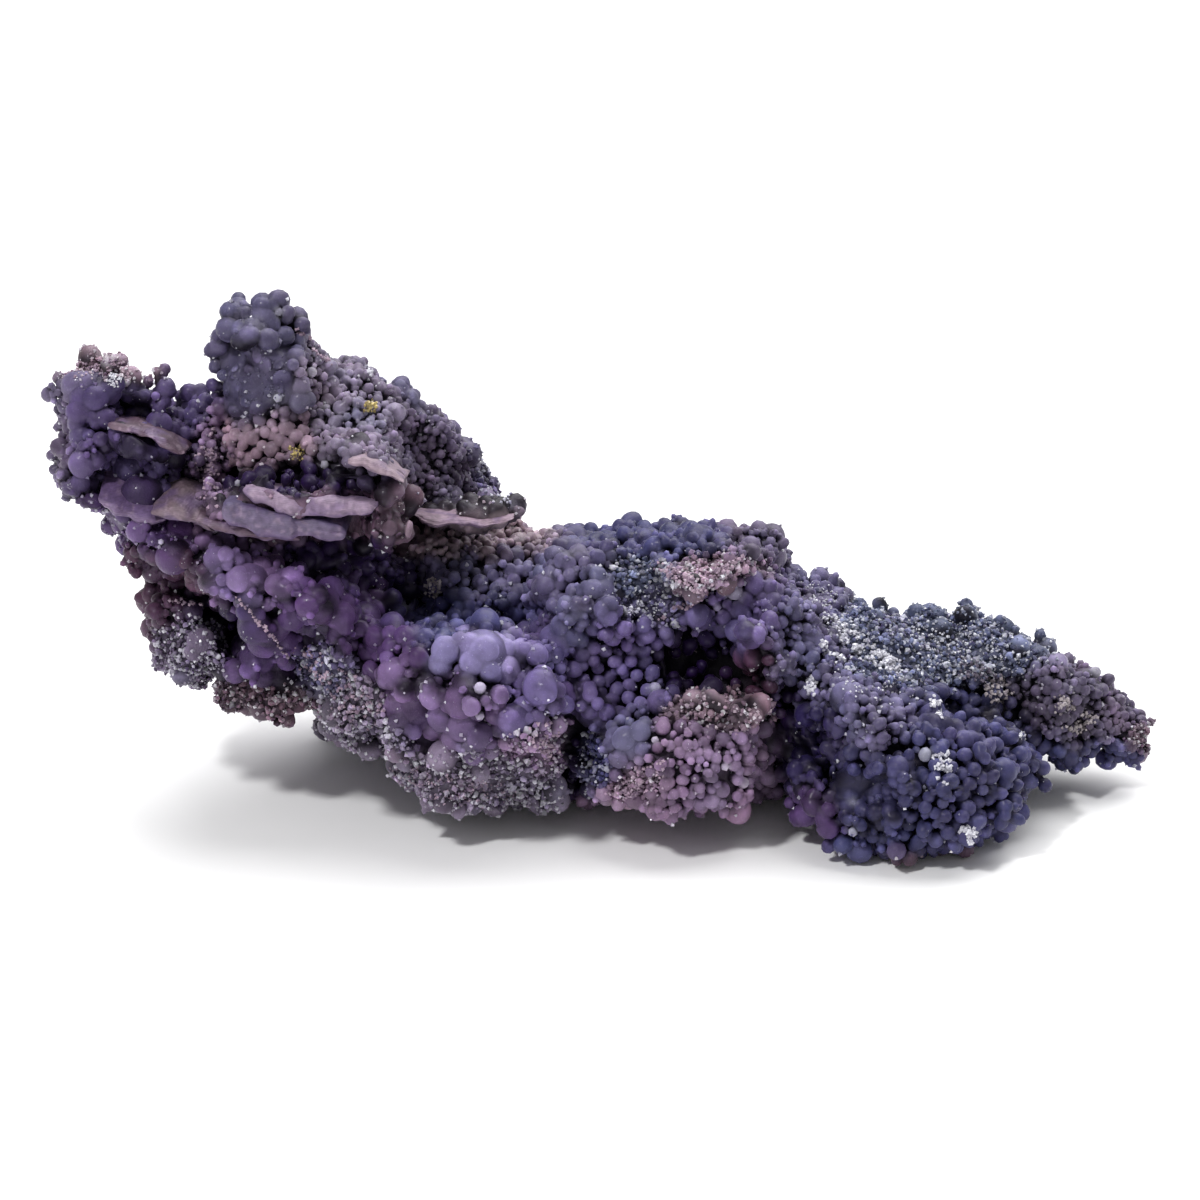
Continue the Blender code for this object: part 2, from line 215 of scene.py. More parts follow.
G = Growth
T = Tone
# Zones in hollows, gaps and clefts take the painted-shade tones.
ZONES: dict[str, Zone] = {
    # The left wing.
    "wing_body": Zone(115, 440, 75, 48, 0, G.LUMPS, 5, 12, T.DUSK, 0.1),
    "wing_edge": Zone(58, 445, 20, 60, 0, G.GRAPES, 4.5, 8, T.OLIVE),
    "wing_top": Zone(100, 367, 45, 13, 0, G.CRUST, 3.5, 6, T.TAN, 0.4),
    "wing_right": Zone(185, 400, 28, 30, 0, G.GRAPES, 4.5, 8, T.DUSK, 0.1),
    "wing_hollow": Zone(132, 412, 24, 12, 0, G.GRAPES, 5, 8, T.HOLLOW_SHADE, 0),
    "wing_gap": Zone(180, 462, 22, 16, 0, G.GRAPES, 5, 8, T.HOLLOW_SHADE, 0),
    # The tower.
    "knob": Zone(255, 315, 46, 32, 0, G.LUMPS, 7, 13, T.STEEL, 0.2),
    "tower_face": Zone(262, 378, 36, 42, 0, G.BARE, 5, 12, T.STEEL, 0.2),
    "left_crust": Zone(208, 475, 17, 58, 0, G.FINE, 4, 7, T.MAUVE, 0.5),
    "lumps": Zone(278, 440, 48, 22, 0, G.LUMPS, 5, 9, T.TAN, 0.35),
    "recess": Zone(305, 478, 78, 17, 0, G.SPARSE, 5, 8, T.HOLLOW_SHADE, 0.1),
    "right_slope": Zone(355, 430, 42, 46, 0, G.FINE, 4.2, 6.6, T.ASH, 0.2),
    "knob_right": Zone(318, 372, 25, 38, 35, G.FINE, 4.2, 6.4, T.ASH, 0.3),
    "back_edge": Zone(425, 388, 70, 20, 45, G.BARE, 5, 12, T.SLATE, 0.1),
    "concave": Zone(440, 450, 42, 58, 0, G.FINE, 4.2, 6, T.OLIVE, 0.1),
    "slope_edge": Zone(482, 455, 14, 66, -28, G.CRUST, 3, 5, T.SLATE, 0.2),
    "ledges": Zone(300, 514, 78, 20, 0, G.BARE, 4, 8, T.CLAY, 0.3),
    "post": Zone(398, 510, 15, 40, 0, G.BARE, 5, 10, T.BROWN, 0.2),
    # The left body.
    "sheet": Zone(145, 522, 58, 22, 22, G.BARE, 6, 16, T.GRAPE, 0.2),
    "under_sheet": Zone(165, 590, 34, 36, 45, G.GRAPES, 5, 9, T.RUST, 0.05),
    "gap_line": Zone(205, 608, 70, 10, 40, G.SPARSE, 6, 9, T.HOLLOW_SHADE, 0),
    "lilac_balls": Zone(240, 570, 50, 22, 25, G.LUMPS, 6, 12, T.HEATHER, 0.2),
    "druse_slab": Zone(193, 655, 26, 48, -15, G.CRUST, 2.5, 4, T.OLIVE, 0.4),
    "dark_balls": Zone(265, 662, 32, 24, 0, G.LUMPS, 9, 18, T.GRAPE, 0.0),
    "jaw": Zone(270, 700, 60, 16, 10, G.CRUST, 3, 6, T.BROWN, 0.3),
    "belly": Zone(335, 620, 58, 42, 0, G.LUMPS, 7, 15, T.GRAPE, 0.15),
    "dark_bowl": Zone(348, 566, 50, 20, 5, G.GRAPES, 6, 10, T.HOLLOW_SHADE, 0.05),
    "bowl_shade": Zone(412, 592, 30, 20, 20, G.GRAPES, 5, 9, T.GAP_SHADE, 0.1),
    "belly_druse": Zone(320, 662, 34, 26, 40, G.CRUST, 3, 6, T.SLATE, 0.4),
    # The hanging lobe.
    "bowl": Zone(470, 612, 80, 20, 0, G.GRAPES, 6, 10, T.INK, 0.15),
    "big_grapes": Zone(490, 655, 40, 24, 0, G.LUMPS, 8, 16, T.LAVENDER, 0.15),
    "lobe": Zone(430, 706, 58, 32, 0, G.LUMPS, 8, 19, T.HEATHER, 0.2),
    "lobe_right": Zone(540, 672, 30, 52, 0, G.LUMPS, 7, 14, T.VIOLET, 0.2),
    "grit_left": Zone(362, 722, 34, 46, -45, G.CRUST, 3, 5, T.ASH, 0.4),
    "grit_low": Zone(440, 787, 92, 26, 8, G.CRUST, 2.5, 5, T.ASH, 0.35),
    "grit_right": Zone(543, 742, 25, 24, 0, G.CRUST, 3, 5, T.MAUVE, 0.5),
    # The saddle and the middle lobe.
    "saddle_top": Zone(490, 530, 72, 20, 0, G.FINE, 4.4, 7, T.SAND, 0.2),
    "saddle_low": Zone(500, 578, 70, 24, 0, G.GRAPES, 5, 9, T.SLATE, 0.2),
    "middle_top": Zone(640, 532, 84, 26, 0, G.GRAPES, 5, 9, T.INK, 0.05),
    "middle_left": Zone(585, 592, 36, 44, 0, G.LUMPS, 6, 12, T.SLATE, 0.2),
    "olive_crust": Zone(765, 532, 40, 22, 0, G.FINE, 3.5, 6, T.OLIVE, 0.4),
    "wedge": Zone(635, 578, 44, 20, 0, G.CRUST, 3, 5, T.TEAL, 0.3),
    "crust_line": Zone(705, 576, 50, 18, 0, G.CRUST, 3, 5, T.TAN, 0.5),
    "middle_right": Zone(742, 618, 40, 42, 0, G.LUMPS, 6, 12, T.VIOLET, 0.2),
    "small_druse": Zone(650, 607, 28, 16, 0, G.CRUST, 3, 5, T.SLATE, 0.5),
    "cave": Zone(695, 662, 44, 22, 0, G.SPARSE, 6, 9, T.HOLLOW_SHADE, 0),
    "cave_right": Zone(752, 668, 20, 28, 0, G.SPARSE, 6, 9, T.RUST, 0),
    "stalks": Zone(610, 665, 44, 60, 0, G.STALKS, 6, 9.5, T.VIOLET, 0.3),
    "brown_druse": Zone(720, 712, 40, 16, 0, G.CRUST, 3, 5, T.TAN, 0.3),
    "middle_low": Zone(690, 775, 80, 42, 0, G.FINE, 5, 8, T.MAUVE, 0.35),
    "dark_druse": Zone(600, 762, 20, 26, 0, G.CRUST, 3, 5, T.INK, 0.1),
    "blue_side": Zone(628, 738, 26, 32, 0, G.LUMPS, 6, 11, T.SLATE, 0.3),
    "pink_crust": Zone(642, 785, 34, 18, 0, G.CRUST, 3, 5, T.PINK, 0.5),
    "left_cleft": Zone(572, 742, 8, 54, 0, G.SPARSE, 5, 7, T.HOLLOW_SHADE, 0),
    "right_cleft": Zone(787, 725, 9, 55, 0, G.SPARSE, 5, 7, T.HOLLOW_SHADE, 0),
    # The arm.
    "arm_shoulder": Zone(808, 640, 36, 50, 0, G.FINE, 4.5, 7.5, T.SLATE, 0.2),
    "arm_druse": Zone(880, 640, 70, 26, 12, G.CRUST, 2.6, 5, T.TEAL, 0.5),
    "arm_top": Zone(985, 640, 64, 28, 12, G.CRUST, 2.8, 5.5, T.TEAL, 0.2),
    "arm_lump": Zone(875, 725, 36, 34, 0, G.FINE, 5, 8, T.SLATE, 0.45),
    "arm_hollow": Zone(818, 758, 38, 36, 20, G.STALKS, 5, 9, T.GAP_SHADE, 0.1),
    "arm_front": Zone(905, 792, 100, 62, 0, G.STALKS, 6, 10, T.INK, 0.15),
    "arm_side": Zone(1000, 770, 50, 60, 0, G.STALKS, 6.5, 10.5, T.INK, 0.2),
    "arm_plum": Zone(815, 812, 32, 28, 0, G.LUMPS, 7, 13, T.PLUM, 0.2),
    "arm_end": Zone(1090, 700, 64, 36, 18, G.FINE, 4.2, 6.6, T.OLIVE, 0.2),
    "arm_end_low": Zone(1080, 765, 60, 22, -18, G.GRAPES, 5, 7.5, T.INK, 0.05),
    "tip": Zone(1142, 734, 22, 18, 0, G.CRUST, 3, 5, T.BROWN, 0.2),
    "arm_under": Zone(925, 862, 60, 10, 0, G.FINE, 6, 9, T.BROWN, 0.2),
}


class Look(Enum):
    """How a listed ball differs from its zone.

    Its brightness, which is painted light on lit balls and painted shade on dark ones, its paleness,
    and the share of its radius by which its middle is over the skin.
    """

    PLAIN = (1.0, 0.0, -0.12)
    # painted light: balls that the light falls on brightly
    LIT = (1.15, 0.02, -0.12)
    # painted shade: balls under overhangs and in hollows
    DARK = (0.6, 0.0, -0.12)
    PALE = (1.2, 0.4, -0.05)
    DOME = (1.05, 0.0, -0.6)


# Balls that the photograph shows one by one: pixels from the left, from the top, and radius.
GRAPES: dict[Look, tuple[Spot, ...]] = {
    Look.DOME: (
        (85, 402, 17), (262, 318, 18), (250, 572, 19), (215, 552, 15), (330, 603, 20),
        (372, 640, 18), (403, 703, 28), (478, 648, 24), (462, 728, 21), (512, 722, 20),
        (545, 684, 20), (555, 640, 16), (440, 755, 18), (632, 745, 20), (655, 700, 16),
        (705, 618, 15), (600, 590, 17), (540, 590, 17), (640, 540, 18),
        (700, 530, 17), (580, 535, 16), (815, 640, 18), (850, 690, 17), (170, 560, 18),
    ),
    Look.PLAIN: (
        # The wing.
        (49, 394, 8), (70, 395, 8), (120, 362, 9), (132, 376, 10), (132, 385, 9), (148, 382, 6),
        (165, 369, 6), (157, 371, 5), (128, 395, 8), (108, 392, 14), (95, 398, 14), (78, 413, 13),
        (92, 416, 9), (105, 418, 12), (68, 428, 7), (60, 447, 10), (80, 483, 10), (52, 455, 6),
        (55, 470, 6), (160, 425, 14), (172, 430, 10), (192, 414, 9), (205, 400, 8), (190, 393, 10),
        (200, 392, 9), (180, 396, 6), (185, 433, 8), (183, 445, 8), (173, 482, 9), (185, 490, 10),
        (165, 490, 8), (152, 481, 4),
        # The knob and the tower.
        (238, 307, 12), (263, 306, 11), (278, 300, 11), (288, 312, 8), (303, 325, 8),
        (268, 340, 12), (228, 330, 13), (218, 347, 10), (217, 335, 7), (216, 366, 7),
        (213, 385, 7), (222, 375, 6), (285, 335, 10), (298, 352, 8), (318, 372, 5), (293, 365, 7),
        (300, 372, 6), (300, 385, 12), (335, 392, 8), (345, 397, 6), (342, 388, 5), (355, 388, 5),
        (328, 400, 8), (340, 408, 8), (335, 422, 8), (318, 425, 8), (340, 435, 9), (333, 447, 8),
        (286, 428, 8), (296, 436, 8), (303, 430, 7), (265, 432, 7), (245, 425, 8), (235, 435, 7),
        (252, 438, 8), (280, 440, 7), (262, 446, 6), (243, 445, 6), (272, 424, 6),
        (310, 482, 9), (310, 470, 8), (250, 478, 8), (213, 470, 9),
        # The left body.
        (125, 512, 12), (203, 540, 8), (210, 515, 6), (262, 567, 12), (275, 563, 10),
        (222, 580, 7), (167, 585, 8), (168, 604, 5), (175, 600, 6), (155, 615, 8), (193, 612, 12),
        (200, 640, 14), (283, 660, 6), (330, 590, 14), (340, 615, 16), (375, 637, 13),
        (390, 645, 8),
        # The hanging lobe.
        (405, 635, 12), (425, 637, 10), (460, 640, 10), (490, 670, 12), (467, 615, 8),
        (478, 611, 6), (395, 615, 10), (402, 588, 7), (410, 577, 7), (455, 577, 7), (465, 595, 9),
        (510, 569, 7), (528, 565, 6), (517, 590, 8), (530, 600, 9), (545, 585, 10), (570, 575, 8),
        (572, 590, 8), (595, 590, 12), (530, 612, 7), (525, 630, 10), (537, 640, 9),
        (555, 655, 10), (520, 680, 11), (540, 680, 11), (558, 690, 9), (572, 690, 9),
        (565, 705, 10), (500, 695, 10), (495, 715, 12), (510, 720, 14), (432, 728, 13),
        (463, 690, 5), (492, 718, 4), (490, 750, 10),
        # The middle lobe.
        (583, 622, 8), (598, 668, 7), (590, 712, 10), (597, 720, 8), (612, 726, 7), (612, 708, 6),
        (617, 690, 8), (663, 727, 9), (625, 675, 6), (637, 675, 7), (615, 672, 5), (647, 636, 10),
        (702, 622, 9), (740, 612, 12), (722, 630, 9), (758, 634, 9), (762, 575, 6), (775, 567, 4),
        (770, 620, 9), (778, 635, 7), (690, 645, 8), (647, 690, 7), (672, 693, 9), (688, 733, 5),
        (700, 730, 5), (680, 752, 7), (688, 745, 6), (694, 745, 5), (715, 768, 6), (735, 765, 7),
        (698, 768, 5), (745, 745, 7), (752, 750, 7), (762, 748, 6), (640, 781, 4), (667, 783, 8),
        (683, 780, 7), (655, 812, 10), (675, 808, 6), (700, 812, 6), (723, 790, 8), (730, 805, 4),
        (790, 720, 10), (795, 738, 9), (790, 750, 9), (788, 697, 7), (790, 680, 7), (785, 672, 6),
        # The arm.
        (843, 598, 7), (860, 605, 7), (880, 607, 8), (893, 613, 6), (915, 612, 8), (940, 615, 8),
        (966, 605, 7), (980, 615, 5), (1000, 620, 6), (1015, 630, 5), (1040, 635, 6),
        (1068, 660, 7), (925, 720, 8), (920, 728, 7), (965, 740, 11), (964, 755, 8),
        (980, 748, 8), (985, 758, 7), (940, 750, 10), (868, 783, 9), (898, 768, 12),
        (850, 795, 10), (838, 745, 8), (825, 735, 6), (995, 745, 10), (1005, 770, 13),
        (1005, 782, 8), (1023, 755, 9), (1040, 750, 7), (1053, 752, 7), (1027, 780, 9),
        (1042, 768, 8), (952, 808, 5), (925, 815, 5), (905, 814, 5), (955, 825, 4), (790, 803, 7),
        (806, 815, 13), (827, 828, 12), (828, 810, 8), (847, 805, 8), (862, 810, 8), (890, 800, 9),
        (895, 820, 8), (880, 825, 4), (845, 830, 5), (873, 837, 7), (918, 842, 9), (938, 846, 6),
        (965, 855, 8), (1005, 815, 6), (1008, 715, 5), (1075, 700, 7), (1070, 690, 5),
        (1085, 690, 6), (1090, 675, 7), (1103, 690, 7), (1085, 750, 7), (1150, 722, 5),
        (1140, 715, 6), (1130, 705, 6), (1120, 700, 6),
    ),
    # Balls painted brighter, as painted light.
    Look.LIT: (
        (75, 385, 15), (165, 388, 11), (82, 465, 15), (80, 435, 12), (137, 530, 12),
        (243, 560, 9), (225, 555, 9), (240, 578, 14), (485, 650, 18), (470, 645, 13),
        (505, 648, 12), (445, 650, 16), (495, 625, 12), (553, 605, 8), (560, 626, 11),
        (538, 655, 12), (545, 690, 14), (560, 668, 7), (594, 628, 9), (610, 618, 8),
        (640, 730, 11), (625, 740, 14), (697, 615, 12), (736, 630, 12), (658, 655, 7),
        (712, 687, 12), (712, 800, 10), (768, 777, 9), (885, 777, 9), (827, 748, 8),
        (982, 790, 6), (943, 803, 6), (365, 482, 9), (405, 698, 16), (472, 707, 10),
        (480, 773, 11), (300, 402, 12), (640, 703, 7), (860, 850, 13),
    ),
    # Balls painted darker, as painted shade.
    Look.DARK: (
        (130, 468, 17), (140, 495, 22), (155, 580, 12), (150, 595, 9), (258, 658, 20),
        (275, 672, 15), (415, 715, 18), (480, 735, 14), (582, 655, 8), (673, 640, 9),
        (590, 790, 10), (757, 715, 8), (765, 730, 10), (635, 800, 11), (935, 725, 14),
        (955, 728, 10), (1070, 757, 10), (1110, 748, 6), (1130, 746, 7), (1075, 768, 7),
        (1045, 785, 7), (1108, 680, 7), (265, 475, 12),
    ),
    Look.PALE: (
        (110, 362, 9), (182, 402, 5), (279, 312, 5), (261, 306, 3), (312, 372, 6), (278, 398, 5),
        (326, 408, 5), (325, 465, 5), (335, 484, 4), (242, 468, 5), (238, 483, 4), (256, 484, 3),
        (161, 542, 3), (213, 528, 6), (443, 634, 5), (405, 610, 6), (425, 687, 6), (470, 685, 6),
        (480, 688, 6), (480, 716, 5), (717, 607, 5), (655, 740, 4),
        (655, 688, 6), (725, 766, 5), (743, 783, 6), (925, 755, 7), (853, 801, 5), (940, 819, 3),
        (1095, 672, 6), (735, 592, 9), (853, 832, 5),
    ),
}


@dataclass(frozen=True)
class Relief:
    """A ridge or a groove of the skin, along a line in the photograph.

    Attributes:
        path: the line, as pixels from one end to the other.
        reach: half-width in pixels.
        height: millimetres by which it stands out, or lies back where it is negative.
        around: whether it runs on over the edge and behind the stone.
    """

    path: tuple[tuple[int, int], ...]
    reach: float
    height: float
    around: bool = False


RELIEFS: dict[str, Relief] = {
    "belly_ridge": Relief(((215, 558), (262, 575), (335, 618), (390, 640), (490, 650)), 14, 1.8),
    "sheet_lip": Relief(((98, 505), (150, 535), (205, 580), (250, 622), (290, 665)), 9, 1.6),
    "sheet_gap": Relief(((150, 572), (190, 597), (235, 635), (285, 682)), 8, -3.0),
    "ledge_gap": Relief(((235, 545), (290, 548), (340, 560), (385, 565)), 10, -2.5),
    "bowl_left": Relief(((320, 560), (365, 575), (405, 605)), 16, -3.2),
    "bowl_right": Relief(((420, 600), (470, 622), (525, 612)), 12, -2.2),
    "lobe_chain": Relief(((545, 580), (558, 626), (540, 660), (550, 705)), 13, 1.7),
    "lobe_cleft": Relief(((572, 640), (575, 700), (572, 790)), 8, -3.2),
    "lobe_fold": Relief(((400, 672), (450, 676), (500, 680)), 7, -1.4),
    "lobe_swell": Relief(((400, 705), (440, 730)), 20, 1.4),
    "grit_fold": Relief(((345, 690), (375, 740), (420, 775)), 10, -1.0),
    "brow": Relief(((655, 566), (700, 590), (725, 572), (748, 553)), 9, 2.0),
    "under_brow": Relief(((620, 588), (672, 604), (720, 604)), 7, -2.0),
    "cave_rim": Relief(((640, 640), (672, 622), (705, 618), (745, 632)), 8, 1.2),
    "cave": Relief(((665, 658), (725, 664)), 16, -3.0),
    "cave_foot": Relief(((668, 705), (715, 694), (750, 712)), 11, 1.6),
    "right_rim": Relief(((772, 610), (770, 660), (755, 712)), 8, 1.2),
    "right_cleft": Relief(((790, 640), (786, 700), (778, 770)), 8, -3.0),
    "stalk_gap": Relief(((584, 615), (588, 650), (582, 690)), 10, -3.6),
    "stalk_gap_low": Relief(((600, 690), (630, 715)), 7, -1.6),
    "shoulder": Relief(((762, 560), (800, 610), (838, 690), (872, 740)), 12, 1.5),
    "shoulder_fold": Relief(((835, 590), (862, 640), (905, 690)), 12, -1.4),
    "arm_lump": Relief(((865, 712), (885, 738)), 20, 2.0),
    "arm_hollow": Relief(((796, 742), (828, 762), (862, 790)), 24, -4.2),
    "arm_gap": Relief(((870, 790), (900, 815), (905, 845)), 11, -2.6),
    "arm_gap_right": Relief(((935, 770), (985, 800), (1000, 840)), 13, -2.2),
    "arm_seam": Relief(((930, 700), (985, 712), (1040, 735)), 8, -1.8),
    "arm_crest": Relief(((960, 612), (1000, 640), (1060, 670)), 12, 1.2),
    "wing_split": Relief(((112, 400), (150, 412), (190, 440)), 9, -2.0),
    "wing_swell": Relief(((75, 390), (82, 460)), 16, 1.2),
    "tower_rib": Relief(((205, 420), (208, 490)), 9, 2.0),
    "arm_rim": Relief(((990, 605), (1040, 630), (1082, 656)), 10, -1.6, True),
    "left_foot": Relief(((108, 545), (125, 590), (148, 668)), 8, -1.3, True),
    "jaw_foot": Relief(((195, 698), (250, 710), (312, 728)), 10, 1.2, True),
    "tip_end": Relief(((1140, 690), (1162, 720), (1160, 755)), 9, -1.5, True),
    "tip_fill": Relief(((1075, 762), (1110, 758)), 8, 1.1, True),
    "wing_rim": Relief(((42, 468), (55, 500)), 9, -1.2, True),
    "neck": Relief(((308, 344), (326, 358)), 8, 1.5, True),
    "slope_top": Relief(((335, 348), (375, 358), (415, 385)), 11, -0.8, True),
    "tower_step": Relief(((232, 424), (300, 424)), 6, -1.2),
    "tower_right": Relief(((300, 350), (345, 400), (380, 455)), 12, 1.2),
    "concave": Relief(((402, 420), (440, 460), (470, 500)), 18, -1.4),
    "jaw_fold": Relief(((225, 640), (240, 690)), 8, -1.8),
    "chin_slab": Relief(((185, 625), (205, 685)), 14, 1.2),
    "arm_root": Relief(((795, 560), (845, 575), (895, 592)), 17, -3.0, True),
    "lobe_foot": Relief(((375, 798), (415, 826), (460, 842), (530, 838)), 15, -4.2, True),
    "low_foot": Relief(((598, 826), (650, 842), (700, 848), (755, 832)), 14, -3.8, True),
    "slope_rim": Relief(((462, 408), (492, 452), (520, 495)), 12, -2.0, True),
    "knob_top": Relief(((205, 318), (214, 298), (262, 280), (302, 300)), 11, -1.8, True),
    "crest": Relief(((545, 512), (620, 508), (700, 504), (762, 510)), 13, -2.8, True),
}


# Thin spurs of the solid that the photograph doesn't show: a pixel on the outline that they are
# lowered to, and their half-width in pixels.
SPURS: tuple[Spot, ...] = ((840, 584, 18),)


@dataclass(frozen=True)
class PhotoView:
    """The photograph's viewpoint, and the way between its pixels and places in space.

    Attributes:
        elevation: degrees above the horizon.
        distance: metres from the camera to its target.
        target: the point in the middle of the frame.
        pixel: metres that one pixel spans at the target.
        size: pixels along each side of the frame.
        sensor: width of the sensor in millimetres.
    """

    elevation: float = 20.0
    distance: float = 0.55
    target: tuple[float, float, float] = (-0.0021, -0.002, 0.033)
    pixel: float = 0.1607e-3
    size: int = 1200
    sensor: float = 36.0

    NEAREST = 0.01  # metres from the camera at which it begins to see
    FARTHEST = 20.0

    def back(self) -> Array:
        """The direction from the target to the camera."""
        tilt = math.radians(self.elevation)
        return np.array([0.0, -math.cos(tilt), math.sin(tilt)])

    def up(self) -> Array:
        """The direction that is up in the picture."""
        tilt = math.radians(self.elevation)
        return np.array([0.0, math.sin(tilt), math.cos(tilt)])

    def origin(self) -> Array:
        """Where the camera stands."""
        return np.array(self.target) + self.back() * self.distance

    def focus(self) -> float:
        """The distance to the target, in pixels."""
        return self.distance / self.pixel

    def seen(self, points: Array) -> Array:
        """Where points in space appear in the picture.

        Args:
            points: an array of places, one row each.

        Returns:
            Their pixel coordinates, one row each.
        """
        offset = points - self.origin()
        depth = -offset @ self.back()
        across = offset[:, 0] / depth * self.focus()
        along = offset @ self.up() / depth * self.focus()
        return np.stack([self.size / 2 + across, self.size / 2 - along], axis=1)

    def ray(self, u: float, v: float) -> Vector:
        """The direction from the camera through a pixel.

        Args:
            u: the pixel's column.
            v: its row.

        Returns:
            The direction, of length one.
        """
        across = (u - self.size / 2) / self.focus()
        along = (self.size / 2 - v) / self.focus()
        way = np.array([across, 0.0, 0.0]) + self.up() * along - self.back()
        return Vector(way).normalized()

    def at_depth(self, u: float, v: float, y: float) -> Vector:
        """The place that a pixel shows at the given Y.

        Args:
            u: the pixel's column.
            v: its row.
            y: how far back the place lies, in metres.

        Returns:
            The place.
        """
        way = self.ray(u, v)
        start = Vector(self.origin())
        return start + way * ((y - start.y) / way.y)

    def camera(self) -> bpy.types.Object:
        """Makes the camera and hands it to the scene.

        Returns:
            The camera.
        """
        data = bpy.data.cameras.new("camera")
        data.sensor_width = self.sensor
        data.lens = self.sensor * self.focus() / self.size
        data.clip_start = self.NEAREST
        data.clip_end = self.FARTHEST
        camera = bpy.data.objects.new("camera", data)
        camera.location = Vector(self.origin())
        camera.rotation_mode = "QUATERNION"
        camera.rotation_quaternion = Vector(-self.back()).to_track_quat("-Z", "Y")
        bpy.context.scene.collection.objects.link(camera)
        bpy.context.scene.camera = camera
        return camera


class ZoneMap:
    """Looks up the zones for places on the stone."""

    SHARPNESS = 1.3
    CHUNK = 20000
    RICHNESS = 1.22  # how much stronger the colours are than the tones, to make up for the gloss
    STRAY = 13.0  # pixels by which the borders run in and out
    STRAY_WIDTH = 4.5 * MM
    FARTHEST = 40  # squared distance from a zone, in its radii, past which it counts no less
    LEAST = 1e-12
    COLOURS = 3.0  # how suddenly one zone's colours give way to the next one's
    FORMS = 4.0  # the same of the habits
    TURN = (0.05, -0.15)  # cosines of the turn to the viewer between which the calm back begins

    def __init__(self, view: PhotoView, zones: dict[str, Zone]) -> None:
        """Keeps the zones as arrays.

        Args:
            view: the photograph's view.
            zones: the zones by name.
        """
        self.view = view
        self.zones = list(zones.values())
        tones = np.array([z.tone.linear() for z in self.zones])
        grey = tones.mean(axis=1, keepdims=True)
        self.tones = np.maximum(grey + (tones - grey) * self.RICHNESS, 0)
        self.frost = np.array([z.frost for z in self.zones])

    def field(self, name: str) -> Array:
        """One number of every zone's habit."""
        return np.array([getattr(z.growth.value, name) for z in self.zones])

    def weights(self, points: Array) -> Array:
        """How much each zone counts at each point.

        Args:
            points: an array of places, one row each.

        Returns:
            One row for each point, with a weight for each zone.
        """
        rows = []
        for start in range(0, len(points), self.CHUNK):
            batch = points[start : start + self.CHUNK]
            stray = [noise.noise_vector(Vector(p) / self.STRAY_WIDTH)[:2] for p in batch]
            seen = self.view.seen(batch) + np.array(stray) * self.STRAY
            columns = []
            for zone in self.zones:
                turn = math.radians(zone.turn)
                across = seen[:, 0] - zone.u
                down = seen[:, 1] - zone.v
                along = across * math.cos(turn) + down * math.sin(turn)
                beside = down * math.cos(turn) - across * math.sin(turn)
                reach = (along / zone.ru) ** 2 + (beside / zone.rv) ** 2
                columns.append(np.exp(-self.SHARPNESS * np.minimum(reach, self.FARTHEST)))
            rows.append(np.stack(columns, axis=1))
        return np.concatenate(rows) + self.LEAST

    def mixed(self, weights: Array, values: Array, power: float = COLOURS) -> Array:
        """Values of the zones, mixed by their weights."""
        sharp = weights**power
        return sharp @ values / sharp.sum(axis=1).reshape((-1,) + (1,) * (values.ndim - 1))

    def habit(self, name: str, weights: Array) -> Array:
        """One number of the zones' habits, mixed by their weights."""
        return self.mixed(weights, self.field(name), self.FORMS)

    def calmed(self, name: str, weights: Array, normals: Array) -> Array:
        """The same, but the calm back's number where the stone faces away.

        Args:
            name: which number of the habits.
            weights: how much each zone counts at each place.
            normals: the outward directions there.

        Returns:
            One number for each place.
        """
        showy = self.habit(name, weights)
        behind = smoothstep(*self.TURN, normals @ self.view.back())
        return showy + (getattr(G.CALM.value, name) - showy) * behind


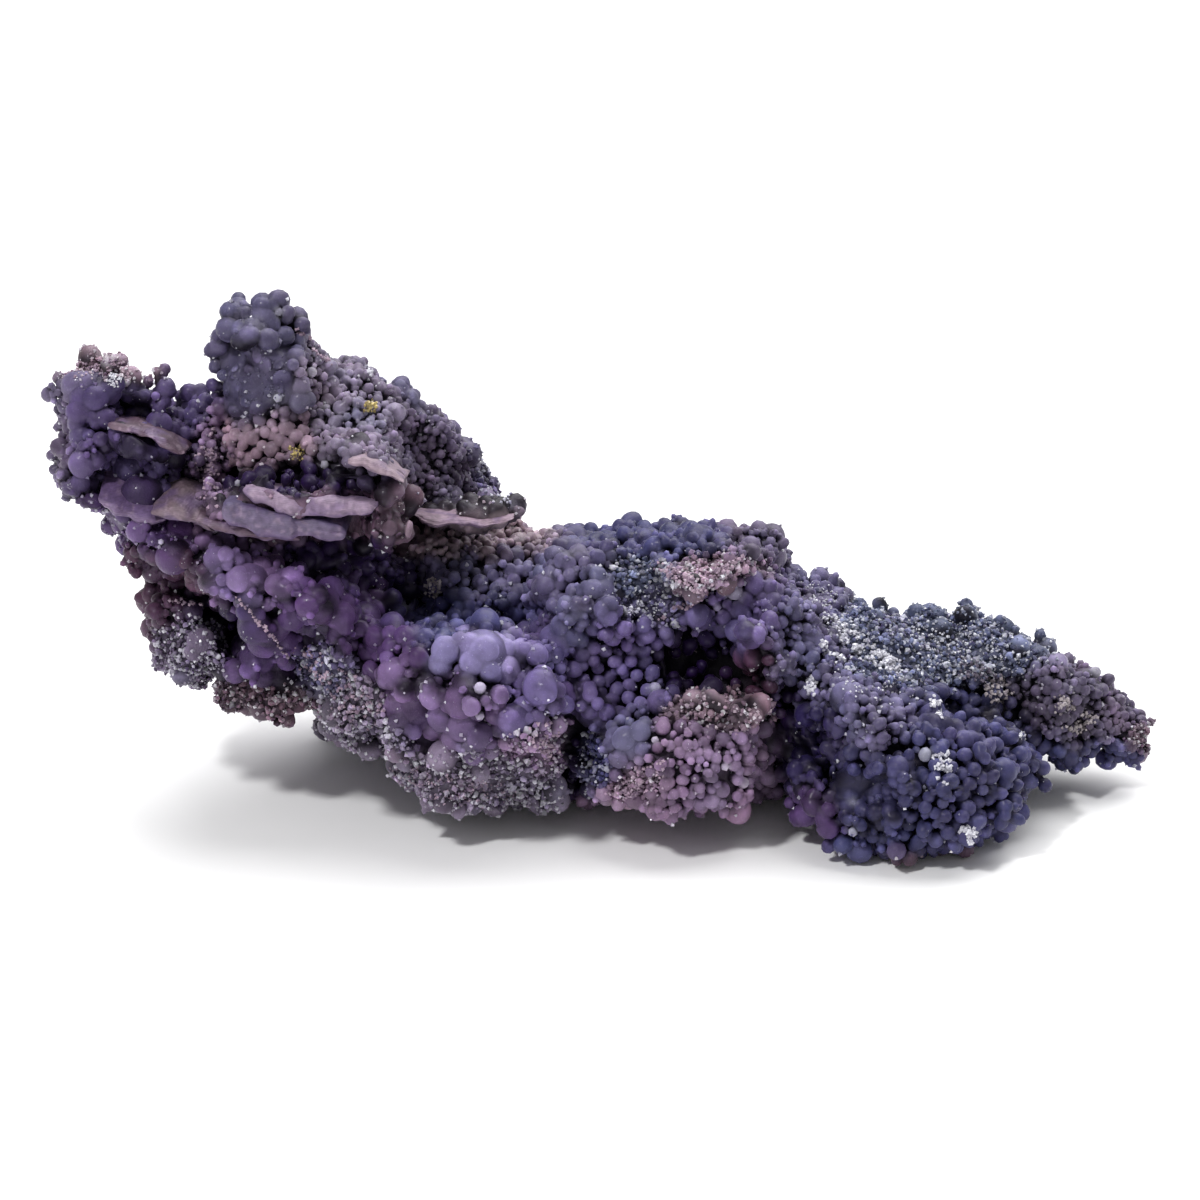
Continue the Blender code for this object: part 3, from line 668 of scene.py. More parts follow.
class Skin:
    """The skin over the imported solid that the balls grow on, with its ridges and grooves.

    It is only a guide and isn't shown.
    """

    VOXEL = 0.8 * MM
    SMOOTHING = 4
    CALMING = 0.6  # how strong each round of the smoothing is
    INSET = 1.35 * MM
    LOBES = ((8.0, 2.0), (3.8, 1.3))  # width and height of its lobes, in millimetres
    DOME = 0.85  # half-width of a lobe's dome, of its width
    LEVEL = 0.65  # height of a lobe that leaves the skin where it is
    FULL = (0.15, 0.75)  # heights of a lobe between which its crease ends, which the balls' painted shade follows
    FACING = (-0.1, 0.25)  # cosines of the turn to the viewer between which the ridges begin
    TURNED = 0.25  # cosine of the turn at which a thin part counts as turned inside out

    def __init__(self, node: bpy.types.Object, view: PhotoView, zones: ZoneMap) -> None:
        """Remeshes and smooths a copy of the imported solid, and shapes it.

        Args:
            node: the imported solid.
            view: the photograph's view.
            zones: the stone's zones.
        """
        copy = bpy.data.objects.new("skin", node.data.copy())
        bpy.context.scene.collection.objects.link(copy)
        remesh = copy.modifiers.new("even", "REMESH")
        remesh.mode = "VOXEL"
        remesh.voxel_size = self.VOXEL
        smooth = copy.modifiers.new("calm", "SMOOTH")
        smooth.factor = self.CALMING
        smooth.iterations = self.SMOOTHING
        mesh = flattened(copy)
        bpy.data.objects.remove(copy)
        self.points, self.triangles = mesh_arrays(mesh)
        self.normals = self.smooth_normals()
        before = self.normals
        self.points = self.points + before * self.height(view, zones)[:, None]
        seen = view.seen(self.points)
        for u, v, reach in SPURS:
            near = np.exp(-(((seen[:, 0] - u) / reach) ** 4))
            above = np.clip(v - seen[:, 1], 0, None)
            self.points[:, 2] -= above * near * view.pixel
        self.normals = self.smooth_normals()
        self.sound = np.einsum("ij,ij->i", before, self.normals) > self.TURNED
        self.tree = BVHTree.FromPolygons(self.points.tolist(), self.triangles.tolist())

    def smooth_normals(self) -> Array:
        """The outward direction at every point.

        Returns:
            The directions, one row each.
        """
        flat = face_normals(self.corners())
        summed = np.zeros_like(self.points)
        for i in range(3):
            np.add.at(summed, self.triangles[:, i], flat)
        return unit(summed)

    def height(self, view: PhotoView, zones: ZoneMap) -> Array:
        """How far every point moves out: its lobes, and its ridges on the showy side.

        Args:
            view: the photograph's view.
            zones: the stone's zones.

        Returns:
            The heights in metres.
        """
        behind = self.normals @ view.back() < 0
        strength = zones.habit("lobes", zones.weights(self.points))
        strength = np.where(behind, G.CALM.value.lobes, strength)
        swell = np.zeros(len(self.points))
        # how far from a lobe's crease each point is, for the balls' painted shade
        self.fullness = np.ones(len(self.points))
        for width, tall in self.LOBES:
            gaps = [noise.voronoi(Vector(p) / (width * MM))[0][0] for p in self.points]
            dome = np.sqrt(np.clip(1 - (np.array(gaps) / self.DOME) ** 2, 0, 1))
            swell += (dome - self.LEVEL) * tall * strength
            self.fullness *= 1 - (1 - smoothstep(*self.FULL, dome)) * np.minimum(strength, 1)
        seen = view.seen(self.points)
        ridges = np.zeros(len(self.points))
        facing = smoothstep(*self.FACING, self.normals @ view.back())
        for relief in RELIEFS.values():
            gap = np.full(len(seen), np.inf)
            for start, end in zip(relief.path, relief.path[1:]):
                first = np.array(start, float)
                along = np.array(end, float) - first
                share = np.clip((seen - first) @ along / (along @ along), 0, 1)
                gap = np.minimum(gap, np.linalg.norm(seen - first - share[:, None] * along, axis=1))
            shown = 1.0 if relief.around else facing
            ridges += relief.height * np.exp(-((gap / relief.reach) ** 2)) * shown
        return (swell + ridges) * MM - self.INSET

    def corners(self) -> Array:
        """The three corners of every triangle."""
        return self.points[self.triangles]

    def areas(self) -> Array:
        """The area of every triangle, which is none where the skin is turned inside out."""
        areas = np.linalg.norm(face_normals(self.corners()), axis=1) / 2
        return areas * self.sound[self.triangles].all(axis=1)

    def sample(
        self, count: int, weights: Array, rng: np.random.Generator
    ) -> tuple[Array, Array, Array]:
        """Random places on the skin.

        Args:
            count: how many.
            weights: how likely each triangle is.
            rng: the source of chance.

        Returns:
            The places, the outward directions there and how full the lobes are there.
        """
        picked = rng.choice(len(self.triangles), count, p=weights / weights.sum())
        share = np.sort(rng.random((count, 2)), axis=1)
        share = np.stack([share[:, 0], share[:, 1] - share[:, 0], 1 - share[:, 1]], axis=1)
        triangles = self.triangles[picked]
        places = np.einsum("ij,ijk->ik", share, self.points[triangles])
        outward = np.einsum("ij,ijk->ik", share, self.normals[triangles])
        fullness = np.einsum("ij,ij->i", share, self.fullness[triangles])
        return places, unit(outward), fullness


def flattened(obj: bpy.types.Object) -> bpy.types.Mesh:
    """A new mesh: the object with its modifiers applied.

    Args:
        obj: the object, which stays as it is.

    Returns:
        The mesh.
    """
    bpy.context.view_layer.update()
    graph = bpy.context.evaluated_depsgraph_get()
    return bpy.data.meshes.new_from_object(obj.evaluated_get(graph))


def apply_modifiers(obj: bpy.types.Object) -> None:
    """Makes the object's modifiers part of its mesh.

    Args:
        obj: the object.
    """
    mesh = flattened(obj)
    obj.modifiers.clear()
    before = obj.data
    obj.data = mesh
    bpy.data.meshes.remove(before)


def read(items: bpy.types.bpy_prop_collection, name: str, kind: type = float) -> Array:
    """A property of three numbers of all items of a mesh, one row each.

    Args:
        items: the items.
        name: the property.
        kind: the type of its numbers.

    Returns:
        The numbers.
    """
    values = np.zeros(len(items) * 3, kind)
    items.foreach_get(name, values)
    return values.reshape(-1, 3)


def read_whole(items: bpy.types.bpy_prop_collection, name: str) -> Array:
    """A property of one whole number of all items of a mesh.

    Args:
        items: the items.
        name: the property.

    Returns:
        The numbers.
    """
    values = np.zeros(len(items), np.int32)
    items.foreach_get(name, values)
    return values


def write_tones(mesh: bpy.types.Mesh, domain: str, tones: Array) -> None:
    """Writes the colours that the finishes read, one for each point or corner of a mesh.

    Args:
        mesh: the mesh.
        domain: POINT or CORNER.
        tones: the colours, one row of three each.
    """
    colours = np.ones((len(tones), 4), np.float32)
    colours[:, :3] = tones
    layer = mesh.attributes.new(TONE_LAYER, "FLOAT_COLOR", domain)
    layer.data.foreach_set("color", colours.ravel())


def mesh_arrays(mesh: bpy.types.Mesh) -> tuple[Array, Array]:
    """A mesh as an array of points and one of triangles."""
    mesh.calc_loop_triangles()
    return read(mesh.vertices, "co"), read(mesh.loop_triangles, "vertices", np.int32)


def face_normals(corners: Array) -> Array:
    """The normals of triangles, twice as long as their areas are large."""
    return np.cross(corners[:, 1] - corners[:, 0], corners[:, 2] - corners[:, 0])


def triangle_count(obj: bpy.types.Object) -> int:
    """How many triangles an object's mesh has."""
    obj.data.calc_loop_triangles()
    return len(obj.data.loop_triangles)


def mesh_object(name: str, points: Array, faces: Array) -> bpy.types.Object:
    """A new object in the scene, from arrays of points and triangles.

    Args:
        name: its name.
        points: the points.
        faces: the points' indices, three a row.

    Returns:
        The object.
    """
    mesh = bpy.data.meshes.new(name)
    mesh.from_pydata(points.tolist(), [], faces.tolist())
    obj = bpy.data.objects.new(name, mesh)
    bpy.context.scene.collection.objects.link(obj)
    return obj


@dataclass
class Balls:
    """The balls of the stone, grown one by one and then kept as arrays.

    Attributes:
        middles: places of their middles.
        shapes: three by three matrices that make a unit ball each of them.
        outward: the directions in which they grow.
        reach: their longest half-lengths.
        tones: linear colours.
        frost: how dusty their outer ends are.
        detail: how finely each is divided, from 1 to 3.
        rough: whether each is a small crystalline lump and not a round ball.
        anchors: places of the skin over them.
        ways: outward directions of the skin there.
    """

    FINEST = 2.1 * MM  # a larger ball is divided most finely
    COARSEST = 0.85 * MM  # a smaller ball is divided least
    ROUND = (0.93, 1.07)  # least and greatest width of a ball, of what it is told

    middles: list = field(default_factory=list)
    shapes: list = field(default_factory=list)
    outward: list = field(default_factory=list)
    reach: list = field(default_factory=list)
    tones: list = field(default_factory=list)
    frost: list = field(default_factory=list)
    detail: list = field(default_factory=list)
    rough: list = field(default_factory=list)
    anchors: list = field(default_factory=list)
    ways: list = field(default_factory=list)

    def at(self, anchor: Array, way: Array) -> None:
        """Says where on the skin the next balls grow, and which way is out there."""
        self.anchor = np.array(anchor, float)
        self.way = np.array(way, float)

    def grow(
        self,
        middle: Array,
        outward: Array,
        radius: float,
        stretch: float,
        tone: Array,
        frost: float,
        rng: np.random.Generator,
        rough: bool = False,
    ) -> None:
        """Adds one ball.

        Args:
            middle: its place.
            outward: the direction in which it grows.
            radius: its radius across.
            stretch: its half-length outward, in radii.
            tone: linear colour.
            frost: how dusty its outer end is.
            rng: the source of chance.
            rough: whether it is a small crystalline lump and not a round ball.
        """
        side = unit(np.cross(outward, rng.normal(size=3)))
        other = np.cross(outward, side)
        wide, narrow = radius * rng.uniform(*self.ROUND, 2)
        shape = np.stack([side * wide, other * narrow, outward * radius * stretch], axis=1)
        reach = max(wide, narrow, radius * stretch)
        middle = np.array(middle, float)
        middle[2] = max(middle[2], reach)
        if rough or radius < self.COARSEST:
            detail = 1
        else:
            detail = 3 if radius > self.FINEST else 2
        values = (middle, shape, outward, reach, tone, frost, detail, rough, self.anchor, self.way)
        for each, value in zip(fields(self), values):
            getattr(self, each.name).append(value)

    def settle(self) -> None:
        """Turns the lists into arrays once all balls have grown."""
        for each in fields(self):
            setattr(self, each.name, np.array(getattr(self, each.name)))
        self.inverses = np.linalg.inv(self.shapes)


class Crowd:
    """The balls placed so far, which keep later ones away."""

    def __init__(self) -> None:
        """Starts with no balls."""
        self.places: list[tuple[float, float, float]] = []
        self.radii: list[float] = []

    def add(self, place: Array, radius: float) -> None:
        """Takes up the room of one ball."""
        self.places.append(tuple(place))
        self.radii.append(radius)

    def admit(self, places: Array, radii: Array, spacing: Array) -> list[int]:
        """Chooses from a batch of balls those that have room, and takes them up.

        Args:
            places: middles of the balls.
            radii: their radii.
            spacing: share of the sum of two radii that keeps each from its neighbours.

        Returns:
            Indices of the balls that have room.
        """
        before = self.tree(self.places)
        batch = self.tree(places)
        most_before = max(self.radii, default=0.0)
        most = float(radii.max())
        kept: dict[int, float] = {}
        for i, (place, radius, space) in enumerate(zip(places.tolist(), radii, spacing)):
            near = before.find_range(place, space * (radius + most_before))
            if any(d < space * (radius + self.radii[j]) for _, j, d in near):
                continue
            near = batch.find_range(place, space * (radius + most))
            if any(j in kept and d < space * (radius + kept[j]) for _, j, d in near):
                continue
            kept[i] = float(radius)
        for i in kept:
            self.add(places[i], kept[i])
        return list(kept)

    @staticmethod
    def tree(places: list | Array) -> kdtree.KDTree:
        """A search tree over places.

        Args:
            places: the places, one row each.

        Returns:
            The tree.
        """
        found = kdtree.KDTree(len(places))
        for i, place in enumerate(places):
            found.insert(place, i)
        found.balance()
        return found


@dataclass
class GrapeCover:
    """The cover of balls over the whole skin.

    Attributes:
        view: the photograph's viewpoint.
        skin: what the balls grow on.
        zones: how they grow where.
        tries: places that are tried.
        batches: how many batches the tries come in.
        calm: least and greatest radius at the back, in millimetres.
        calm_patch: width of the patches of finer and coarser balls there, in millimetres.
        twin_from: radius in millimetres from which a listed ball has twins.
        margin: how much more room a listed ball takes than it fills.
        dome_margin: the same of a dome.
        under: how much deeper the second layer lies, in radii.
        beadlet: least and greatest radius of the beads on the balls, in millimetres.
        pale: share of the balls that are paler than their zone.
        tiny: share of the balls that are smaller than their zone says.
        lobe_shade: painted shade: brightness of the balls in the creases between lobes, of that on the
            lobes.
        drift_width: width of the patches of redder and bluer balls, in millimetres.
        drift_by: how much redder, greener and bluer they are.
    """

    view: PhotoView
    skin: Skin
    zones: ZoneMap
    tries: int = 110000
    batches: int = 10
    calm: tuple[float, float] = (1.15, 2.5)
    calm_patch: float = 16.0
    twin_from: float = 1.2
    margin: float = 1.05
    dome_margin: float = 0.62
    under: float = 1.1
    beadlet: tuple[float, float] = (0.42, 0.85)
    pale: float = 0.12
    tiny: float = 0.15
    lobe_shade: float = 0.3
    drift_width: float = 7.0
    drift_by: tuple[float, float, float] = (0.11, -0.02, -0.05)

    # A listed ball.
    GROWS = (0.7, 0.4)  # how much it grows out of the stone, and how much towards the viewer
    HAND_SHADES = (0.92, 1.08)
    HAND_STRETCH = (0.97, 1.15)
    FREE = 0.5  # radii from the skin past which it hangs on a stalk of beads
    STALK_STEP = 0.8  # radii from one bead of the stalk to the next
    STALK = (0.75, 1.1)  # width and length of a bead, in the ball's and in its own radii
    STALK_SHADE = 0.8
    SEARCH = 80  # steps along a ray that misses the skin
    SEARCH_STEP = 2 * MM
    # The balls that are strewn.
    LEAST = 0.6 * MM  # the least radius that their density is worked out from
    ZONE_NOISE = ((0.6, 1.0), (0.75, 1.0))  # how far chance moves the borders between zones
    FEW_LARGE = 1.5  # how much rarer a zone's large balls are than its small ones
    TINY_SIZE = 0.7
    PATCHED = (0.7, 0.3)  # how much of a size at the back goes by patches, and how much by chance
    SWAY = 0.2  # how far a ball's direction strays
    ROUGH_SHADES = (0.45, -0.1)  # how uneven a lump's brightness is, and its middle, as powers of e
    FROSTED = (0.2, 0.5, (0.15, 0.5))  # share of frosted lumps, what stays of their tone, and the frost
    SHADES = (0.84, 1.15)
    HUES = 0.02  # how far a ball's colour strays
    PALER = (0.1, 0.8)
    NECK_FROM = 0.2  # radii by which a ball has to stand out to have a neck
    NECK = (0.75, 0.85, 1.2)  # how deep the neck lies, and its width and length
    BEADS = ((0.62, 0.85), 1.2, 1.3)  # width of a bead under a ball, its step and its length
    BEADLET_SWAY = 0.5
    BEADLET_OUT = (0.95, 0.2)  # where a small bead sits, in the ball's radii and in its own
    BEADLET_PALER = (0.1, 0.9)
    BEADLET_STRETCH = (1.0, 1.4)
    BEADLET_FROST = 0.1
    DEEPER = ((0.6, 1.0), (0.7, 0.95), 1.1)  # how far aside a deeper ball lies, its width and length
    LIGHT_DRIFT = 0.3  # how much the brightness drifts
    LIGHT_PLACE = (20.0, 0.0, 0.0)
    # The smaller ball at another's side.
    TWIN_SIZE = (0.55, 0.85)
    TWIN_ASIDE = (0.55, 0.85)
    TWIN_BACK = (0, 0.4)
    TWIN_LEAN = (0.2, 0.8)
    TWIN_SHADES = (0.9, 1.1)
    TWIN_STRETCH = (1.0, 1.3)

    def build(self) -> Balls:
        """Grows the listed balls, and then all the others.

        Returns:
            The balls as arrays.
        """
        rng = np.random.default_rng(SEED)
        balls = Balls()
        crowd = Crowd()
        for look, spots in GRAPES.items():
            for u, v, radius in spots:
                self.by_hand(u, v, radius, look, balls, crowd, rng)
        placed = len(balls.middles)
        self.scatter(balls, crowd, rng)
        balls.settle()
        LOG.info("%d balls by hand, %d in all", placed, len(balls.middles))
        return balls

    def by_hand(
        self,
        u: float,
        v: float,
        pixels: float,
        look: Look,
        balls: Balls,
        crowd: Crowd,
        rng: np.random.Generator,
    ) -> None:
        """Places one ball where the photograph shows it.

        Args:
            u: pixels from the left.
            v: pixels from the top.
            pixels: radius in pixels.
            look: how it differs from its zone.
            balls: takes the ball.
            crowd: takes up its room.
            rng: the source of chance.
        """
        way = self.view.ray(u, v)
        start = Vector(self.view.origin())
        hit, normal, face, _ = self.skin.tree.ray_cast(start, way)
        radius = pixels * self.view.pixel
        bright, pale, over = look.value
        if hit is None:
            hit, root, normal = self.beside(start, way)
            gap = (hit - root).length
            middle = hit
        else:
            radius *= (hit - start).length / self.view.distance
            skin_normal = Vector(self.skin.normals[self.skin.triangles[face][0]])
            middle = hit + skin_normal * radius * over
            gap = 0.0
        outward = unit(np.array(normal) * self.GROWS[0] - np.array(way) * self.GROWS[1])
        weights = self.zones.weights(np.array([middle]))
        tone = self.zones.mixed(weights, self.zones.tones)[0]
        frost = float(self.zones.mixed(weights, self.zones.frost)[0]) * rng.random() ** 2
        tone = tone * bright * rng.uniform(*self.HAND_SHADES) * self.drift(middle)
        tone = tone + (Tone.FROST.linear() - tone) * pale
        balls.at(hit, normal)
        balls.grow(middle, outward, radius, rng.uniform(*self.HAND_STRETCH), tone, frost, rng)
        dome = look is Look.DOME
        crowd.add(balls.middles[-1], radius * (self.dome_margin if dome else self.margin))
        if radius > self.twin_from * MM and not dome:
            self.twin(np.array(middle), outward, radius, tone, frost, balls, rng)
        if gap > radius * self.FREE:
            wide, long = self.STALK
            beads = math.ceil(gap / (radius * self.STALK_STEP))
            for step in range(1, beads + 1):
                place = np.array(hit.lerp(root, step / beads))
                balls.grow(place, outward, radius * wide, long, tone * self.STALK_SHADE, frost, rng)

    def beside(self, start: Vector, way: Vector) -> tuple[Vector, Vector, Vector]:
        """Where a ray that misses the skin passes nearest to it.

        Args:
            start: where the ray starts.
            way: its direction.

        Returns:
            The place on the ray, the nearest place of the skin and the outward direction there.
        """
        best = None
        for step in range(self.SEARCH):
            ahead = (step - self.SEARCH // 2) * self.SEARCH_STEP
            place = start + way * (self.view.distance + ahead)
            root, normal, _, gap = self.skin.tree.find_nearest(place)
            if best is None or gap < best[0]:
                best = (gap, place, root, normal)
        return best[1], best[2], best[3]

    def scatter(self, balls: Balls, crowd: Crowd, rng: np.random.Generator) -> None:
        """Grows balls over all that is left of the skin.

        Args:
            balls: takes the balls.
            crowd: keeps them apart.
            rng: the source of chance.
        """
        zones = self.zones
        sizes = np.array([(z.small + z.large) / 2 * self.view.pixel for z in zones.zones])
        weights = zones.weights(self.skin.corners().mean(axis=1))
        local = sizes[weights.argmax(axis=1)]
        density = self.skin.areas() / np.maximum(local, self.LEAST) ** 2
        places, outward, fullness = self.skin.sample(self.tries, density, rng)
        all_noise, each_noise = self.ZONE_NOISE
        weights = zones.weights(places) * rng.uniform(*all_noise, (len(places), 1))
        picked = (weights * rng.uniform(*each_noise, weights.shape)).argmax(axis=1)
        behind = outward @ self.view.back() < BEHIND
        tones = zones.mixed(weights, zones.tones)
        # painted shade on the balls in the creases between lobes
        tones = tones * (self.lobe_shade + (1 - self.lobe_shade) * fullness)[:, None]
        tones = tones * np.array([self.drift(place) for place in places])
        frost = zones.mixed(weights, zones.frost)
        small = np.array([z.small for z in zones.zones])[picked] * self.view.pixel
        large = np.array([z.large for z in zones.zones])[picked] * self.view.pixel
        radii = small + (large - small) * rng.random(len(places)) ** self.FEW_LARGE
        radii = np.where(rng.random(len(places)) < self.tiny, small * self.TINY_SIZE, radii)
        patch = np.array([noise.noise(Vector(p) / (self.calm_patch * MM)) for p in places])
        by_patch, by_chance = self.PATCHED
        share = np.clip(0.5 + patch, 0, 1) * by_patch + rng.random(len(places)) * by_chance
        calm = (self.calm[0] + (self.calm[1] - self.calm[0]) * share) * MM
        radii = np.where(behind, calm, radii)
        habits = [z.growth.value for z in zones.zones]
        cover = np.array([h.cover for h in habits])[picked]
        spacing = np.where(behind, G.CALM.value.spacing, zones.field("spacing")[picked])
        wanted = np.where(rng.random(len(places)) < cover, True, behind)
        for batch in np.array_split(np.nonzero(wanted)[0], self.batches):
            for kept in crowd.admit(places[batch], radii[batch], spacing[batch]):
                i = batch[kept]
                habit = G.CALM.value if behind[i] else habits[picked[i]]
                rough = habit is G.CRUST.value
                self.one(
                    places[i], outward[i], radii[i], habit, rough, tones[i], frost[i], balls, rng
                )

    def one(
        self,
        place: Array,
        outward: Array,
        radius: float,
        habit: Habit,
        rough: bool,
        tone: Array,
        frost: float,
        balls: Balls,
        rng: np.random.Generator,
    ) -> None:
        """Grows one ball and the beads under it.

        Args:
            place: its place on the skin.
            outward: the direction away from the stone.
            radius: its radius.
            habit: how balls grow here.
            rough: whether it is a crystalline lump.
            tone: linear colour.
            frost: how dusty its outer end is.
            balls: takes it.
            rng: the source of chance.
        """
        way = unit(outward + rng.normal(size=3) * self.SWAY)
        frost = frost * rng.random() ** 2
        if rough:
            uneven, middle_shade = self.ROUGH_SHADES
            share, own, frosted = self.FROSTED
            tone = tone * math.exp(rng.normal() * uneven + middle_shade)
            if rng.random() < share:
                tone = tone * own + Tone.FROST.linear() * rng.uniform(*frosted)
        else:
            tone = tone * rng.uniform(*self.SHADES) * (1 + rng.normal(size=3) * self.HUES)
            if rng.random() < self.pale:
                tone = paler(tone, rng.uniform(*self.PALER))
        rise = rng.uniform(-habit.uneven, habit.uneven)
        middle = place - outward * radius * (habit.sink - rise)
        balls.at(place, outward)
        stretch = rng.uniform(*habit.stretch)
        balls.grow(middle, way, radius, stretch, tone, frost, rng, rough)
        if rise > self.NECK_FROM and not rough and habit is not G.BARE.value:
            deep, wide, long = self.NECK
            neck = middle - way * radius * deep
            balls.grow(neck, way, radius * wide, long, tone, 0.0, rng)
        if rng.random() < habit.twins:
            self.twin(middle, way, radius, tone, frost, balls, rng, rough)
        widths, apart, long = self.BEADS
        for step in range(1, habit.beads + 1):
            thinner = radius * rng.uniform(*widths)
            bead = middle - way * radius * apart * step
            balls.grow(bead, way, thinner, long, tone, 0.0, rng)
        if rng.random() < habit.beadlets:
            lean = unit(way + rng.normal(size=3) * self.BEADLET_SWAY)
            small = rng.uniform(*self.beadlet) * MM
            bead = middle + lean * (radius * self.BEADLET_OUT[0] + small * self.BEADLET_OUT[1])
            light = paler(tone, rng.uniform(*self.BEADLET_PALER))
            stretch = rng.uniform(*self.BEADLET_STRETCH)
            balls.grow(bead, lean, small, stretch, light, self.BEADLET_FROST, rng)
        if rng.random() < habit.under:
            aside, widths, long = self.DEEPER
            side = unit(np.cross(outward, rng.normal(size=3)))
            deeper = place - outward * radius * self.under + side * radius * rng.uniform(*aside)
            balls.grow(deeper, way, radius * rng.uniform(*widths), long, tone, 0.0, rng)

    def drift(self, place: Array) -> Array:
        """How much redder or bluer, and how much brighter, the stone is at a place.

        Args:
            place: the place.

        Returns:
            Factors for red, green and blue.
        """
        here = Vector(place) / (self.drift_width * MM)
        hue = noise.noise(here)
        light = noise.noise(here + Vector(self.LIGHT_PLACE)) * self.LIGHT_DRIFT
        return np.exp(np.array(self.drift_by) * hue + light)

    def twin(
        self,
        middle: Array,
        way: Array,
        radius: float,
        tone: Array,
        frost: float,
        balls: Balls,
        rng: np.random.Generator,
        rough: bool = False,
    ) -> None:
        """Grows a smaller ball to the side of another.

        Args:
            middle: the other's place.
            way: the direction in which it grows.
            radius: its radius.
            tone: its colour.
            frost: how dusty its outer end is.
            balls: takes the new one.
            rng: the source of chance.
            rough: whether it is a crystalline lump.
        """
        side = unit(np.cross(way, rng.normal(size=3)))
        smaller = radius * rng.uniform(*self.TWIN_SIZE)
        beside = middle + side * radius * rng.uniform(*self.TWIN_ASIDE)
        place = beside - way * radius * rng.uniform(*self.TWIN_BACK)
        leaning = unit(way + side * rng.uniform(*self.TWIN_LEAN))
        tone = tone * rng.uniform(*self.TWIN_SHADES)
        stretch = rng.uniform(*self.TWIN_STRETCH)
        balls.grow(place, leaning, smaller, stretch, tone, frost, rng, rough)


@dataclass
class Core:
    """The stone that the balls grow on: what shows between them and on the bare faces.

    Attributes:
        skin: the skin over the balls' roots.
        zones: how deep it lies where.
        bumps: widths and half-heights of its bumps, in millimetres.
    """

    skin: Skin
    zones: ZoneMap
    bumps: tuple[tuple[float, float], ...] = ((2.4, 0.3), (1.2, 0.12))

    VOXEL = 0.75 * MM
    LOWEST = 0.02 * MM
    LEAST = 1e-24
    FRACTAL = (1.0, 2.0, 2)  # how each octave of the bumps is weaker and finer, and how many there are

    def build(self) -> bpy.types.Object:
        """The core as one closed mesh.

        Returns:
            The core as an object.
        """
        skin = self.skin
        depth = self.zones.calmed("recess", self.zones.weights(skin.points), skin.normals)
        for width, tall in self.bumps:
            depth = depth - self.waves(skin.points, width) * tall
        depth = depth * skin.sound
        points = skin.points - skin.normals * depth[:, None] * MM
        points[:, 2] = np.maximum(points[:, 2], self.LOWEST)
        folded = mesh_object("folded", points, skin.triangles)
        clean = folded.modifiers.new("clean", "REMESH")
        clean.mode = "VOXEL"
        clean.voxel_size = self.VOXEL
        self.points, self.triangles = mesh_arrays(flattened(folded))
        bpy.data.objects.remove(folded)
        core = mesh_object("core", self.points, self.triangles)
        mark(core.data, CORE_FACE)
        self.tree = BVHTree.FromPolygons(self.points.tolist(), self.triangles.tolist())
        self.normals = read(core.data.vertex_normals, "vector")
        return core

    def nearest(self, points: Array) -> tuple[Array, Array]:
        """The outward directions of the core nearest to places, and the distances from it.

        Args:
            points: the places, one row each.

        Returns:
            The directions and the distances.
        """
        found = [self.tree.find_nearest(point) for point in points.tolist()]
        faces = np.array([f[2] for f in found])
        gaps = np.array([f[3] for f in found])
        places = np.array([f[0] for f in found])
        ids = self.triangles[faces]
        corner = self.points[ids]
        edges = corner[:, 1:] - corner[:, :1]
        flat = np.cross(edges[:, 0], edges[:, 1])
        offset = places - corner[:, 0]
        scale = np.maximum((flat * flat).sum(axis=1), self.LEAST)
        second = (np.cross(offset, edges[:, 1]) * flat).sum(axis=1) / scale
        third = (np.cross(edges[:, 0], offset) * flat).sum(axis=1) / scale
        share = np.stack([1 - second - third, second, third], axis=1)
        return unit(np.einsum("ij,ijk->ik", share, self.normals[ids])), gaps

    @staticmethod
    def waves(points: Array, width: float) -> Array:
        """Bumps of this width in millimetres, between about -1 and 1.

        Args:
            points: the places, one row each.
            width: the bumps' width.

        Returns:
            Their heights.
        """
        places = (Vector(p) / (width * MM) for p in points)
        return np.array([noise.fractal(place, *Core.FRACTAL) for place in places])


def mark(mesh: bpy.types.Mesh, number: int | Array) -> None:
    """Writes on every face the number of the ball that it belongs to.

    Args:
        mesh: the mesh.
        number: one number for all faces or one for each.
    """
    layer = mesh.attributes.get(BALL_LAYER) or mesh.attributes.new(BALL_LAYER, "INT", "FACE")
    numbers = np.broadcast_to(number, len(mesh.polygons)).astype(np.int32)
    layer.data.foreach_set("value", np.ascontiguousarray(numbers))


def combine(base: bpy.types.Object, other: bpy.types.Object, operation: str) -> None:
    """Unites or intersects a closed mesh with another, which is used up.

    Args:
        base: takes the result.
        other: the other closed mesh.
        operation: UNION or INTERSECT.
    """
    modifier = base.modifiers.new("combine", "BOOLEAN")
    modifier.operation = operation
    modifier.solver = "MANIFOLD"
    modifier.object = other
    apply_modifiers(base)
    bpy.data.objects.remove(other)


